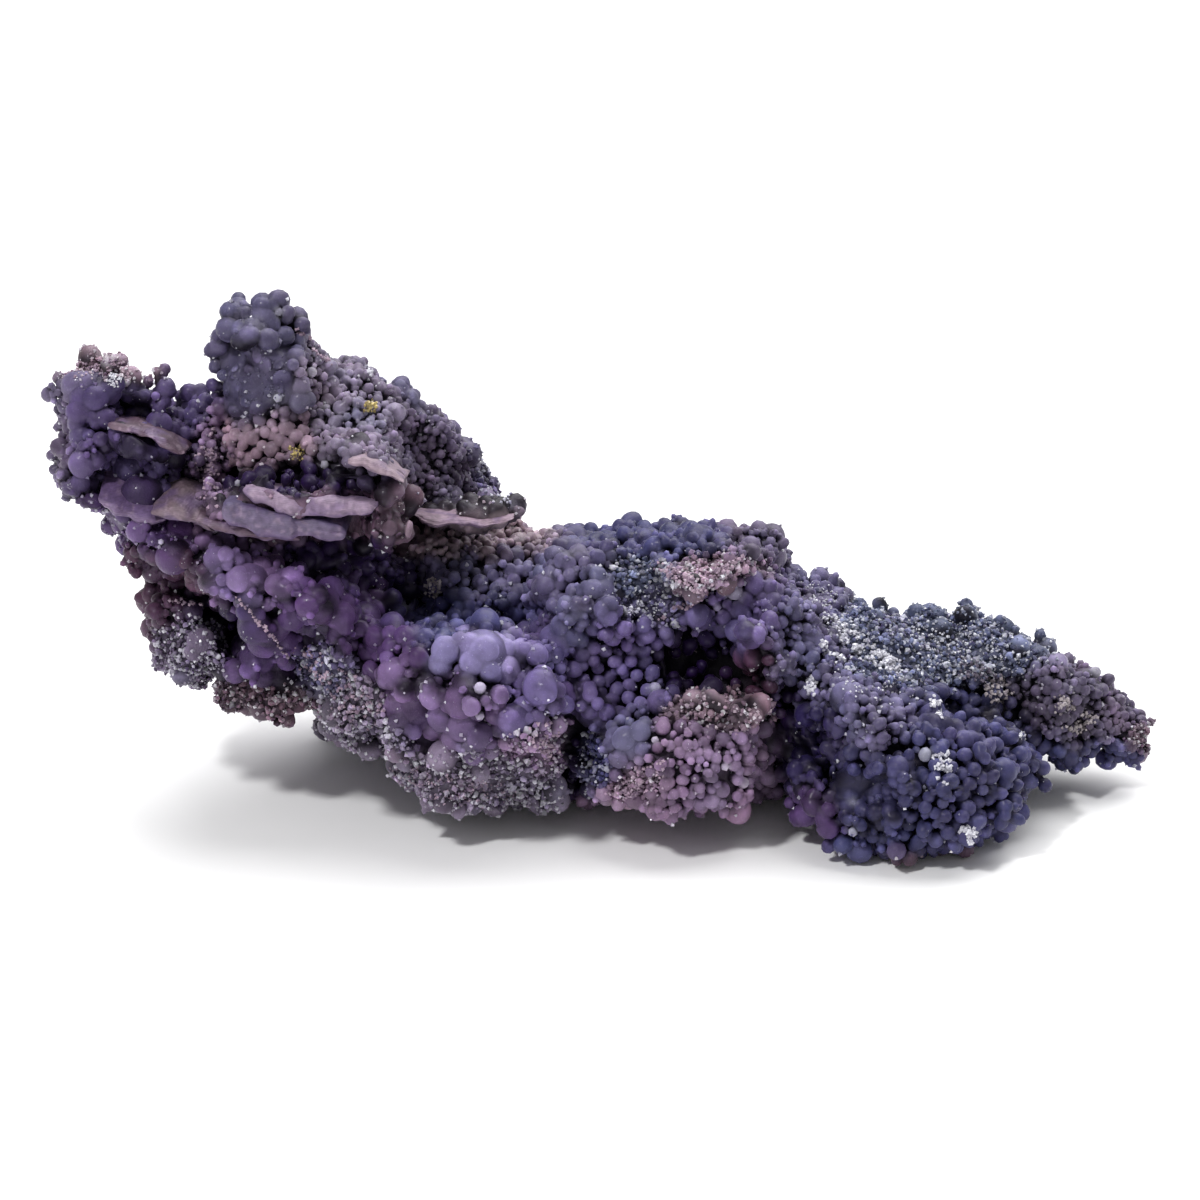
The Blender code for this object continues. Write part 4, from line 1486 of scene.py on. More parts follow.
class BallShapes:
    """Unit balls at three degrees of fineness."""

    JAGS = (0.62, 1.3)  # how far in and out the corners of a crystalline lump lie, in radii
    DENTS = ((1.6, 0.06), (3.2, 0.04))  # how often a ball swells and shrinks, and by how much
    SWELL = 1.12  # how far out a ball's dents can take it, in radii
    CIRCLE = 6.28
    LEVELS = (1, 2, 3)

    def __init__(self) -> None:
        """Makes them."""
        self.levels = {level: self.icosphere(level) for level in self.LEVELS}

    @staticmethod
    def icosphere(level: int) -> tuple[Array, Array]:
        """Points and triangles of a unit ball.

        Args:
            level: how fine it is.

        Returns:
            Its points and its triangles.
        """
        bm = bmesh.new()
        bmesh.ops.create_icosphere(bm, subdivisions=level, radius=1.0)
        points = np.array([vert.co[:] for vert in bm.verts])
        faces = np.array([[vert.index for vert in face.verts] for face in bm.faces])
        bm.free()
        return points, faces

    def joined(self, name: str, balls: Balls, chosen: Array) -> bpy.types.Object:
        """One object that holds the chosen balls, each face with its ball's number.

        Args:
            name: the object's name.
            balls: all the balls.
            chosen: indices of the chosen.

        Returns:
            The object.
        """
        points, faces, numbers = [], [], []
        count = 0
        for level, (unit_points, unit_faces) in self.levels.items():
            ids = chosen[balls.detail[chosen] == level]
            if not len(ids):
                continue
            local = np.repeat(unit_points[None], len(ids), axis=0)
            rng = np.random.default_rng(SEED + len(ids))
            jags = rng.uniform(*self.JAGS, (len(ids), len(unit_points), 1))
            dents = np.ones_like(jags)
            for often, deep in self.DENTS:
                along = unit(rng.normal(size=(len(ids), 3)))
                wave = np.einsum("vi,ni->nv", unit_points, along) * often
                start = rng.uniform(0, self.CIRCLE, (len(ids), 1))
                dents += np.sin(wave + start)[..., None] * deep
            local = local * np.where(balls.rough[ids][:, None, None], jags, dents)
            grown = np.einsum("nij,nvj->nvi", balls.shapes[ids], local)
            grown += balls.middles[ids][:, None]
            shift = count + np.arange(len(ids)) * len(unit_points)
            points.append(grown.reshape(-1, 3))
            faces.append((unit_faces[None] + shift[:, None, None]).reshape(-1, 3))
            numbers.append(np.repeat(ids, len(unit_faces)))
            count += len(ids) * len(unit_points)
        obj = mesh_object(name, np.concatenate(points), np.concatenate(faces))
        mark(obj.data, np.concatenate(numbers))
        return obj


@dataclass
class Section:
    """A length of the stone, cut from the core and united with its balls.

    Attributes:
        name: what it is called.
        low: where it starts along X, in millimetres.
        high: where it ends.
    """

    name: str
    low: float
    high: float

    REACH = 150 * MM  # half-height and half-depth of the box that cuts it out
    MOST = 86000  # triangles that it keeps
    CLEAR = 1.02  # how far apart two balls that don't touch are at least, of touching

    def build(
        self, core: bpy.types.Object, balls: Balls, shapes: BallShapes
    ) -> bpy.types.Object:
        """The closed mesh of this section.

        Args:
            core: the whole core.
            balls: all the balls.
            shapes: unit balls.

        Returns:
            The new object.
        """
        along = balls.middles[:, 0] / MM
        chosen = np.nonzero((along >= self.low) & (along < self.high))[0]
        piece = bpy.data.objects.new(self.name, core.data.copy())
        bpy.context.scene.collection.objects.link(piece)
        combine(piece, self.box(), "INTERSECT")
        groups = self.apart(balls, chosen)
        for group in groups:
            layer = shapes.joined("layer", balls, group)
            combine(piece, layer, "UNION")
        before = triangle_count(piece)
        if before > self.MOST:
            thin = piece.modifiers.new("thin", "DECIMATE")
            thin.ratio = self.MOST / before
            apply_modifiers(piece)
        count = triangle_count(piece)
        LOG.info("%s: %d balls, %d triangles of %d", self.name, len(chosen), count, before)
        return piece

    def box(self) -> bpy.types.Object:
        """The box that cuts this section out of the core.

        Returns:
            The box as an object.
        """
        corners = np.array(
            [
                (x * MM, y * self.REACH, z * self.REACH)
                for x in (self.low, self.high)
                for y in (-1, 1)
                for z in (-1, 1)
            ]
        )
        sides = [(0, 1, 3, 2), (4, 6, 7, 5), (0, 4, 5, 1), (2, 3, 7, 6), (0, 2, 6, 4), (1, 5, 7, 3)]
        halves = [half for a, b, c, d in sides for half in ((a, b, c), (a, c, d))]
        box = mesh_object("box", corners, np.array(halves))
        mark(box.data, CAP_FACE)
        return box

    def apart(self, balls: Balls, chosen: Array) -> list[Array]:
        """Sorts balls into groups in which no two touch.

        Args:
            balls: all the balls.
            chosen: indices of those to sort.

        Returns:
            The groups, as arrays of indices.
        """
        places = balls.middles[chosen]
        most_out = np.where(balls.rough[chosen], BallShapes.JAGS[1], BallShapes.SWELL)
        reach = balls.reach[chosen] * most_out
        tree = Crowd.tree(places.tolist())
        most = float(reach.max())
        order = np.argsort(-reach)
        group = np.full(len(chosen), -1)
        for i in order:
            near = tree.find_range(places[i].tolist(), float(reach[i]) + most)
            used = {group[j] for _, j, d in near if d < (reach[i] + reach[j]) * self.CLEAR}
            number = 0
            while number in used:
                number += 1
            group[i] = number
        return [chosen[group == number] for number in range(group.max() + 1)]


class Dresser:
    """Writes tones and normals on the finished meshes.

    Where balls meet, their tones and normals run into each other over a short way, so that they look
    grown together. The tones carry painted shade deep under the skin, at the balls' roots and along
    the lines where they meet, and a painted rim light round the balls' sides.
    """

    DEEP_SHADE = 0.08  # painted shade: brightness far under the skin, of that at the skin
    SHADE_DEPTHS = (-0.5, 1.7)  # millimetres under the skin between which the painted shade falls
    ROOT = 0.5  # painted shade: brightness at a ball's root, of that at its outer end
    ROOT_TO = (-0.6, 0.2)  # cosines between which this painted shade fades
    RIM_LIGHT = 0.65  # painted rim light: how much brighter a ball is round its sides, for its clear skin seen edge on
    RIM_LIGHT_FROM = (0.35, 0.9)  # cosines between which this painted rim light fades towards the outer end
    BASE = 0.74  # brightness of all balls, of that of their tones
    TIP = (0.55, 0.97)  # cosines between which the dust of a ball's outer end begins and is full
    DUST = 2.2  # how pale the dust is
    NEAREST = 6  # balls that a place is compared with
    WELD = 0.24  # share of a ball's length over which it runs into its neighbours
    CORE_WELD = 0.25 * MM
    CREASE = 0.5  # painted shade: how much darker the line is where balls meet

    def __init__(self, balls: Balls, core: Core) -> None:
        """Keeps what the faces' numbers refer to.

        Args:
            balls: all the balls.
            core: the core.
        """
        self.balls = balls
        self.core = core
        self.zones = core.zones
        self.round = np.nonzero(~balls.rough)[0]
        self.tree = Crowd.tree(balls.middles[self.round].tolist())

    def dress(self, piece: bpy.types.Object) -> None:
        """Writes the tone and the normal of every corner of the piece.

        Args:
            piece: a finished section, whose faces have their balls' numbers.
        """
        mesh = piece.data
        layer = mesh.attributes[BALL_LAYER]
        totals = read_whole(mesh.polygons, "loop_total")
        owner = np.repeat(np.maximum(read_whole(layer.data, "value"), CORE_FACE), totals)
        mesh.attributes.remove(layer)
        flat = read(mesh.polygons, "normal")
        vertex_of = read_whole(mesh.loops, "vertex_index")
        pairs = vertex_of.astype(np.int64) * (len(self.balls.reach) + 1) + owner + 1
        _, first, back = np.unique(pairs, return_index=True, return_inverse=True)
        tone, normal = self.welded(read(mesh.vertices, "co"), vertex_of[first], owner[first])
        normals = normal[back]
        is_rough = (owner >= 0) & self.balls.rough[np.maximum(owner, 0)]
        normals[is_rough] = np.repeat(flat, totals, axis=0)[is_rough]
        write_tones(mesh, "CORNER", tone[back])
        mesh.shade_smooth()
        mesh.normals_split_custom_set(normals.tolist())

    def welded(self, points: Array, vertex: Array, owner: Array) -> tuple[Array, Array]:
        """Tones and normals, run into those of the neighbours, with painted shade where balls meet.

        Args:
            points: the mesh's points.
            vertex: the point of each corner.
            owner: the ball that each corner's face is part of, or the number of the core.

        Returns:
            One tone and one normal for each corner.
        """
        balls = self.balls
        core_tone, core_normal, core_gap = self.core_at(points)
        near = [[n[1] for n in self.tree.find_n(point, self.NEAREST)] for point in points.tolist()]
        near = self.round[np.array(near)][vertex]
        place = points[vertex]
        own = owner >= 0
        tone, normal, _ = self.ball_at(place, np.maximum(owner, 0))
        tone = np.where(own[:, None], tone, core_tone[vertex])
        normal = np.where(own[:, None], normal, core_normal[vertex])
        lone = own & balls.rough[np.maximum(owner, 0)]
        others = np.where(own & ~lone, np.exp(-core_gap[vertex] / self.CORE_WELD), 0.0)
        tones = tone + core_tone[vertex] * others[:, None]
        normals = normal + core_normal[vertex] * others[:, None]
        for column in near.T:
            their_tone, their_normal, gap = self.ball_at(place, column)
            weight = np.exp(-np.maximum(gap, 0) / (self.WELD * balls.reach[column]))
            weight = np.where((column == owner) | lone, 0.0, weight)
            tones = tones + their_tone * weight[:, None]
            normals = normals + their_normal * weight[:, None]
            others = others + weight
        # painted shade along the lines where balls meet, and where they meet the core
        dark = 1 - self.CREASE * others / (1 + others)
        return tones / (1 + others)[:, None] * dark[:, None], unit(normals)

    def ball_at(self, place: Array, ids: Array) -> tuple[Array, Array, Array]:
        """What balls are like at places on or near them, with their painted shade and rim light.

        Args:
            place: the places, one row each.
            ids: the number of the ball for each.

        Returns:
            Their tones, their normals and the distances from them.
        """
        balls = self.balls
        offset = place - balls.middles[ids]
        inverse = balls.inverses[ids]
        local = np.einsum("nij,nj->ni", inverse, offset)
        normal = unit(np.einsum("nji,nj->ni", inverse, local))
        gap = (np.linalg.norm(local, axis=1) - 1) * balls.reach[ids]
        height = np.einsum("ni,ni->n", unit(offset), balls.outward[ids])
        # painted shade: darker the deeper the place lies under the skin
        below = np.einsum("ni,ni->n", balls.anchors[ids] - place, balls.ways[ids]) / MM
        shade = 1 - (1 - self.DEEP_SHADE) * smoothstep(*self.SHADE_DEPTHS, below)
        # painted shade: darker towards the ball's root
        shade = shade * (self.ROOT + (1 - self.ROOT) * smoothstep(*self.ROOT_TO, height))
        # painted rim light: brighter round the ball's sides
        shade = shade * (1 + self.RIM_LIGHT * (1 - smoothstep(*self.RIM_LIGHT_FROM, height))) * self.BASE
        tone = balls.tones[ids] * shade[:, None]
        dusty = (smoothstep(*self.TIP, height) * balls.frost[ids])[:, None]
        return paler(tone, dusty * self.DUST), normal, gap

    def core_at(self, points: Array) -> tuple[Array, Array, Array]:
        """What the core is like nearest to places.

        Args:
            points: the places, one row each.

        Returns:
            Its tones and normals there, and its distances from them.
        """
        normal, gap = self.core.nearest(points)
        weights = self.zones.weights(points)
        # painted shade: the core between the balls is darker, by its zones' habits
        shade = self.zones.calmed("shade", weights, normal) * self.BASE
        tone = self.zones.mixed(weights, self.zones.tones) * shade[:, None]
        return tone, normal, gap


class Nodes:
    """A short way to write a node tree."""

    MIX_INPUTS = (0, 6, 7)  # the sockets of a Mix node that mixes colours
    MIX_OUTPUT = 2

    def __init__(self, name: str) -> None:
        """Starts a material with its shader.

        Args:
            name: the material's name.
        """
        self.material = bpy.data.materials.new(name)
        self.material.use_nodes = True
        self.tree = self.material.node_tree
        self.shader = self.tree.nodes["Principled BSDF"]

    def add(
        self, kind: str, inputs: dict[str, Setting] | None = None, **settings: str
    ) -> bpy.types.Node:
        """Adds a node.

        Args:
            kind: the node's type.
            inputs: what its sockets take: a number, a colour or another socket.
            settings: its own settings.

        Returns:
            The node.
        """
        node = self.tree.nodes.new(kind)
        for key, value in settings.items():
            setattr(node, key, value)
        for key, value in (inputs or {}).items():
            self.put(node.inputs[key], value)
        return node

    def put(self, socket: bpy.types.NodeSocket, value: Setting) -> None:
        """Links a socket to another, or sets its value.

        Args:
            socket: the socket.
            value: a number, a colour or another socket.
        """
        if isinstance(value, bpy.types.NodeSocket):
            self.tree.links.new(value, socket)
        else:
            socket.default_value = value

    def shade(self, inputs: dict[str, Setting]) -> bpy.types.Material:
        """Sets or links the shader's own sockets, which finishes the material.

        Args:
            inputs: what the sockets take, by their names.

        Returns:
            The material.
        """
        for key, value in inputs.items():
            self.put(self.shader.inputs[key], value)
        return self.material

    def tone(self) -> bpy.types.NodeSocket:
        """The colour that is written on the mesh."""
        return self.add("ShaderNodeAttribute", attribute_name=TONE_LAYER).outputs["Color"]

    def clouded(
        self, tone: bpy.types.NodeSocket, scale: float, to: tuple[float, float]
    ) -> bpy.types.NodeSocket:
        """A colour made darker and brighter in clouds, between two shares of itself."""
        return self.mix(1.0, tone, self.ranged(self.noise(scale), MOST_NOISE, to), "MULTIPLY")

    def bump(
        self, height: bpy.types.NodeSocket, strength: float, distance: float
    ) -> bpy.types.NodeSocket:
        """Fine relief as a normal."""
        inputs = {"Height": height, "Strength": strength, "Distance": distance}
        return self.add("ShaderNodeBump", inputs).outputs["Normal"]

    def noise(self, scale: float, detail: float = 3.0) -> bpy.types.NodeSocket:
        """Noise in the object's own space, with this many bumps in a metre.

        Args:
            scale: bumps in a metre.
            detail: how finely they are divided.

        Returns:
            The noise.
        """
        place = self.add("ShaderNodeTexCoord").outputs["Object"]
        node = self.add("ShaderNodeTexNoise", {"Vector": place, "Scale": scale, "Detail": detail})
        return node.outputs["Fac"]

    def ranged(
        self, value: bpy.types.NodeSocket, span: tuple[float, float], to: tuple[float, float]
    ) -> bpy.types.NodeSocket:
        """Maps a value from one span to another.

        Args:
            value: the value.
            span: the span that it comes from.
            to: the span it goes to.

        Returns:
            The mapped value.
        """
        inputs = {
            "Value": value,
            "From Min": span[0],
            "From Max": span[1],
            "To Min": to[0],
            "To Max": to[1],
        }
        return self.add("ShaderNodeMapRange", inputs).outputs["Result"]

    def mix(
        self, factor: Setting, first: Setting, second: Setting, blend: str = "MIX"
    ) -> bpy.types.NodeSocket:
        """Mixes two colours.

        Args:
            factor: the second's share.
            first: the first colour.
            second: the second colour.
            blend: how they are mixed.

        Returns:
            The mixed colour.
        """
        node = self.add("ShaderNodeMix", data_type="RGBA", blend_type=blend)
        for number, value in zip(self.MIX_INPUTS, (factor, first, second)):
            self.put(node.inputs[number], value)
        return node.outputs[self.MIX_OUTPUT]


@dataclass(frozen=True)
class ChalcedonyFinish:
    """Waxy chalcedony under a thin druse.

    Attributes:
        mottle: bumps of the cloudy colour in a metre.
        clouds: least and greatest brightness in them.
        grain: grains of the druse in a metre.
        grain_detail: how finely the grains are divided.
        relief: height of the grains in metres.
        relief_strength: how much of it shows.
        specks: heights of the grains between which the dust begins.
        dust: how pale the grains are.
        spark: how much brighter than the stone the dust is.
        roughness: least and greatest roughness.
        specular: strength of the reflections.
        specular_tint: their colour.
        sheen: how strongly the edges look dusty.
        sheen_roughness: how far the dusty edges reach in.
        sheen_tint: their colour.
        coat: strength of the clear skin.
        coat_roughness: how dull it is.
        glow: how much light passes through the stone.
        glow_radius: how far red, green and blue light pass, as shares.
        glow_depth: how far they pass, in metres.
    """

    mottle: float = 420.0
    clouds: tuple[float, float] = (0.8, 1.2)
    grain: float = 4200.0
    grain_detail: float = 2.0
    relief: float = 0.00012
    relief_strength: float = 0.6
    specks: tuple[float, float] = (0.6, 0.78)
    dust: float = 0.5
    spark: float = 2.2
    roughness: tuple[float, float] = (0.36, 0.6)
    specular: float = 0.27
    specular_tint: tuple[float, ...] = (0.84, 0.74, 1.0, 1.0)
    sheen: float = 0.12
    sheen_roughness: float = 0.2
    sheen_tint: tuple[float, ...] = (0.84, 0.76, 1.0, 1.0)
    coat: float = 0.08
    coat_roughness: float = 0.1
    glow: float = 0.3
    glow_radius: tuple[float, ...] = (1.0, 0.7, 1.3)
    glow_depth: float = 0.0012

    def material(self) -> bpy.types.Material:
        """The finish as a material.

        Returns:
            The material.
        """
        nodes = Nodes("chalcedony")
        tone = nodes.clouded(nodes.tone(), self.mottle, self.clouds)
        grain = nodes.noise(self.grain, self.grain_detail)
        specks = nodes.ranged(grain, self.specks, (0.0, self.dust))
        pale = nodes.mix(1.0, tone, (self.spark, self.spark, self.spark, 1.0), "MULTIPLY")
        return nodes.shade(
            {
                "Base Color": nodes.mix(specks, tone, pale),
                "Roughness": nodes.ranged(grain, MOST_NOISE, self.roughness),
                "Specular IOR Level": self.specular,
                "Specular Tint": self.specular_tint,
                "Sheen Weight": self.sheen,
                "Sheen Roughness": self.sheen_roughness,
                "Sheen Tint": self.sheen_tint,
                "Coat Weight": self.coat,
                "Coat Roughness": self.coat_roughness,
                "Subsurface Weight": self.glow,
                "Subsurface Radius": self.glow_radius,
                "Subsurface Scale": self.glow_depth,
                "Normal": nodes.bump(grain, self.relief_strength, self.relief),
            }
        )


@dataclass(frozen=True)
class CrystalFinish:
    """Small bright crystals, each with its own tone.

    Attributes:
        grain: clouds in a metre.
        clouds: least and greatest brightness in them.
        roughness: how dull the faces are.
        specular: strength of the reflections.
        glow: how much light passes through the crystals.
        glow_radius: how far red, green and blue light pass, as shares.
        glow_depth: how far they pass, in metres.
    """

    grain: float = 3000.0
    clouds: tuple[float, float] = (0.82, 1.15)
    roughness: float = 0.28
    specular: float = 0.6
    glow: float = 0.15
    glow_radius: tuple[float, ...] = (1.0, 1.0, 1.0)
    glow_depth: float = 0.0006

    def material(self) -> bpy.types.Material:
        """The finish as a material.

        Returns:
            The material.
        """
        nodes = Nodes("crystals")
        return nodes.shade(
            {
                "Base Color": nodes.clouded(nodes.tone(), self.grain, self.clouds),
                "Roughness": self.roughness,
                "Specular IOR Level": self.specular,
                "Subsurface Weight": self.glow,
                "Subsurface Radius": self.glow_radius,
                "Subsurface Scale": self.glow_depth,
            }
        )


@dataclass(frozen=True)
class FrostPatch(Ellipse):
    """A patch of tiny crystals.

    Attributes:
        count: crystals in it.
        size: least and greatest half-width of a crystal in millimetres.
        tone: colour.
    """

    count: int
    size: tuple[float, float]
    tone: Tone


TINY = (0.12, 0.3)
SMALL = (0.2, 0.5)
PATCHES: dict[str, FrostPatch] = {
    "wing_crest": FrostPatch(92, 366, 34, 8, 0, 90, SMALL, T.PINK),
    "wing_white": FrostPatch(115, 380, 7, 9, 0, 60, TINY, T.FROST),
    "tower_line": FrostPatch(312, 345, 26, 4, 45, 90, SMALL, T.PINK),
    "tower_face": FrostPatch(262, 378, 26, 32, 0, 90, TINY, T.SLATE),
    "gold_lump": FrostPatch(297, 452, 10, 8, 0, 60, TINY, T.GOLD),
    "gold_cluster": FrostPatch(371, 406, 7, 6, 0, 45, SMALL, T.GOLD),
    "needles": FrostPatch(368, 373, 5, 7, 0, 16, SMALL, T.FROST),
    "ledge_crystal": FrostPatch(318, 522, 6, 4, 0, 12, (0.4, 0.7), T.FROST),
    "left_crust": FrostPatch(208, 470, 12, 46, 0, 130, SMALL, T.PINK),
    "slope_rim": FrostPatch(486, 455, 6, 50, -28, 60, TINY, T.SLATE),
    "brow_left": FrostPatch(682, 578, 28, 7, 30, 200, SMALL, T.PINK),
    "brow_right": FrostPatch(722, 572, 28, 6, -35, 190, SMALL, T.PINK),
    "brow_white": FrostPatch(712, 580, 22, 3, -25, 80, SMALL, T.FROST),
    "ridge": FrostPatch(678, 610, 26, 4, -25, 80, SMALL, T.PINK),
    "small_druse": FrostPatch(650, 607, 24, 12, 0, 110, TINY, T.FROST),
    "arm_band": FrostPatch(862, 645, 50, 9, 38, 420, SMALL, T.FROST),
    "arm_band_core": FrostPatch(886, 660, 16, 7, 30, 200, SMALL, T.FROST),
    "arm_band_low": FrostPatch(840, 658, 24, 8, 40, 150, SMALL, T.FROST),
    "arm_edge": FrostPatch(822, 595, 22, 12, 30, 110, TINY, T.FROST),
    "arm_specks": FrostPatch(960, 650, 70, 26, 20, 420, TINY, T.FROST),
    "arm_specks_low": FrostPatch(975, 672, 40, 12, 20, 160, SMALL, T.ASH),
    "shoulder_specks": FrostPatch(870, 685, 46, 16, 20, 120, TINY, T.FROST),
    "patch_high": FrostPatch(938, 708, 6, 12, -30, 90, SMALL, T.FROST),
    "patch_mid": FrostPatch(942, 766, 9, 19, -8, 200, SMALL, T.FROST),
    "patch_low": FrostPatch(967, 835, 9, 10, 0, 90, SMALL, T.FROST),
    "arm_left_white": FrostPatch(811, 685, 6, 9, 0, 60, SMALL, T.FROST),
    "crust_a": FrostPatch(998, 690, 15, 14, 0, 170, SMALL, T.PALE_TAN),
    "crust_b": FrostPatch(1060, 705, 18, 10, 0, 130, SMALL, T.PALE_TAN),
    "crust_c": FrostPatch(1078, 722, 18, 13, 0, 150, SMALL, T.PALE_TAN),
    "bowl_olive": FrostPatch(433, 588, 8, 10, 0, 50, SMALL, T.PALE_TAN),
    "crust_d": FrostPatch(1023, 735, 5, 5, 0, 24, TINY, T.FROST),
    "grit_edge": FrostPatch(352, 700, 20, 40, -45, 170, SMALL, T.PINK),
    "grit_low": FrostPatch(440, 786, 76, 18, 8, 420, TINY, T.PINK),
    "grit_right": FrostPatch(543, 742, 18, 20, 0, 150, SMALL, T.PINK),
    "pink_crust": FrostPatch(640, 785, 28, 10, -30, 150, SMALL, T.PINK),
    "jaw_line": FrostPatch(268, 702, 46, 8, 8, 130, SMALL, T.TAN),
    "belly_druse": FrostPatch(318, 664, 28, 16, 40, 140, SMALL, T.PINK),
    "tip": FrostPatch(1142, 734, 14, 12, 0, 60, TINY, T.TAN),
}

# Rows of small pale crystals: pixels along each row.
STRINGS: tuple[tuple[tuple[int, int], ...], ...] = (
    ((170, 600), (188, 604), (205, 605)),
    ((237, 600), (255, 618), (275, 640), (290, 660)),
    ((658, 568), (680, 580), (700, 590), (722, 572), (745, 555)),
    ((610, 795), (625, 783), (640, 770), (665, 762)),
)


@dataclass
class CrystalDust:
    """All the crystals too small to be balls, as one mesh of small octahedra.

    Attributes:
        view: the photograph's viewpoint.
        zones: how many grow where.
        pieces: the meshes they grow on.
        most: the greatest number of them that the habits of the zones give.
    """

    view: PhotoView
    zones: ZoneMap
    pieces: list[bpy.types.Object]
    most: int = 13500

    NAME = "crystal_dust"
    STREAK = 2.2  # how much longer than wide the clumps are
    CLUMP = 4.5  # pixels that they are wide
    THIN = -0.05  # how empty the stone is between them
    FEW = 70  # a patch with fewer crystals has no clumps
    SPREAD = (0.7, 1.15)  # how ragged a patch's edge is
    STRING_STEP = 2.2  # pixels from one crystal of a row to the next
    STRING_STRAY = 1.2  # pixels by which they stray from it
    STRING_SIZE = (0.25, 0.5)
    STANDING = 0.3  # how far a crystal of a patch stands out, in half-widths
    LYING = 0.2  # the same of the druse
    DULL = (0.35, 0.33, 0.4)  # the darkest crystals' colour, of their patch's
    BRIGHT = 0.6  # how rare dark ones are: the smaller, the rarer
    DRUSE_LIGHT = 1.15
    DRUSE_FROST = 0.7
    UNEVEN = (0.6, 1.15)  # how far in and out a crystal's corners lie
    LOWEST = 0.05 * MM
    PALEST = 0.9
    CORNERS = np.array(
        [(1, 0, 0), (-1, 0, 0), (0, 1, 0), (0, -1, 0), (0, 0, 1), (0, 0, -1)], float
    )
    FACES = np.array(
        [(0, 2, 4), (2, 1, 4), (1, 3, 4), (3, 0, 4), (2, 0, 5), (1, 2, 5), (3, 1, 5), (0, 3, 5)]
    )

    def build(self, finish: CrystalFinish) -> bpy.types.Object:
        """Grows the crystals on the finished pieces.

        Args:
            finish: what the crystals look like.

        Returns:
            The crystals as one object.
        """
        rng = np.random.default_rng(SEED + 1)
        self.places: list[Array] = []
        self.sizes: list[Array] = []
        self.tones: list[Array] = []
        self.strew(rng)
        return self.mesh(finish, rng)

    def strew(self, rng: np.random.Generator) -> None:
        """Places all the crystals.

        Args:
            rng: the source of chance.
        """
        graph = bpy.context.evaluated_depsgraph_get()
        self.trees = [BVHTree.FromObject(piece, graph) for piece in self.pieces]
        for patch in PATCHES.values():
            self.fill(patch, rng)
        for row in STRINGS:
            self.thread(row, rng)
        self.druse(rng)

    def hit(self, u: float, v: float) -> tuple[Vector, Vector] | None:
        """What the photograph shows at a pixel: the place and the direction out of it.

        Args:
            u: the pixel's column.
            v: its row.

        Returns:
            The place and the direction, or None beside the stone.
        """
        start = Vector(self.view.origin())
        way = self.view.ray(u, v)
        found = [tree.ray_cast(start, way) for tree in self.trees]
        found = [f for f in found if f[0] is not None]
        if not found:
            return None
        best = min(found, key=lambda f: f[3])
        return best[0], best[1]

    def fill(self, patch: FrostPatch, rng: np.random.Generator) -> None:
        """Grows the crystals of one patch.

        Args:
            patch: the patch.
            rng: the source of chance.
        """
        turn = math.radians(patch.turn)
        for _ in range(patch.count):
            angle = rng.uniform(0, 2 * math.pi)
            share = math.sqrt(rng.random()) * rng.uniform(*self.SPREAD)
            along = patch.ru * share * math.cos(angle)
            beside = patch.rv * share * math.sin(angle)
            u = patch.u + along * math.cos(turn) - beside * math.sin(turn)
            v = patch.v + along * math.sin(turn) + beside * math.cos(turn)
            streak = Vector((along / self.STREAK, beside, patch.u)) / self.CLUMP
            if noise.noise(streak) > self.THIN or patch.count < self.FEW:
                self.place(self.hit(u, v), rng.uniform(*patch.size), patch.tone, rng)

    def thread(self, row: tuple[tuple[int, int], ...], rng: np.random.Generator) -> None:
        """Grows a row of pale crystals along a line of pixels.

        Args:
            row: the corners of the line, in pixels.
            rng: the source of chance.
        """
        for (u0, v0), (u1, v1) in zip(row, row[1:]):
            steps = int(math.hypot(u1 - u0, v1 - v0) / self.STRING_STEP)
            for share in np.linspace(0, 1, steps, endpoint=False):
                u = u0 + (u1 - u0) * share + rng.normal() * self.STRING_STRAY
                v = v0 + (v1 - v0) * share + rng.normal() * self.STRING_STRAY
                self.place(self.hit(u, v), rng.uniform(*self.STRING_SIZE), Tone.PINK, rng)

    def place(
        self,
        hit: tuple[Vector, Vector] | None,
        size: float,
        tone: Tone,
        rng: np.random.Generator,
    ) -> None:
        """Adds one crystal where a ray met the stone.

        Args:
            hit: the place and the direction out of it, or None.
            size: the crystal's half-width in millimetres.
            tone: its patch's colour.
            rng: the source of chance.
        """
        if hit is None:
            return
        place, normal = hit
        self.places.append(np.array(place) + np.array(normal) * size * self.STANDING * MM)
        self.sizes.append(size * MM)
        dull = tone.linear() * self.DULL
        self.tones.append(dull + (tone.linear() - dull) * rng.random() ** self.BRIGHT)

    def druse(self, rng: np.random.Generator) -> None:
        """Grows the druse of the crusty zones.

        Args:
            rng: the source of chance.
        """
        for piece in self.pieces:
            points, triangles = mesh_arrays(piece.data)
            corners = points[triangles]
            normal = face_normals(corners)
            weights = self.zones.weights(corners.mean(axis=1))
            behind = unit(normal) @ self.view.back() < BEHIND
            density = np.where(behind, G.CALM.value.crumbs, self.zones.habit("crumbs", weights))
            chance = np.linalg.norm(normal, axis=1) / 2 * density
            count = self.most // len(self.pieces)
            picked = rng.choice(len(triangles), count, p=chance / chance.sum())
            tones = self.zones.mixed(weights[picked], self.zones.tones) * self.DRUSE_LIGHT
            pale = rng.random((count, 1)) ** 2 * self.DRUSE_FROST
            tones = tones + (Tone.FROST.linear() - tones) * pale
            self.spread(corners[picked], normal[picked], tones, SMALL, rng)

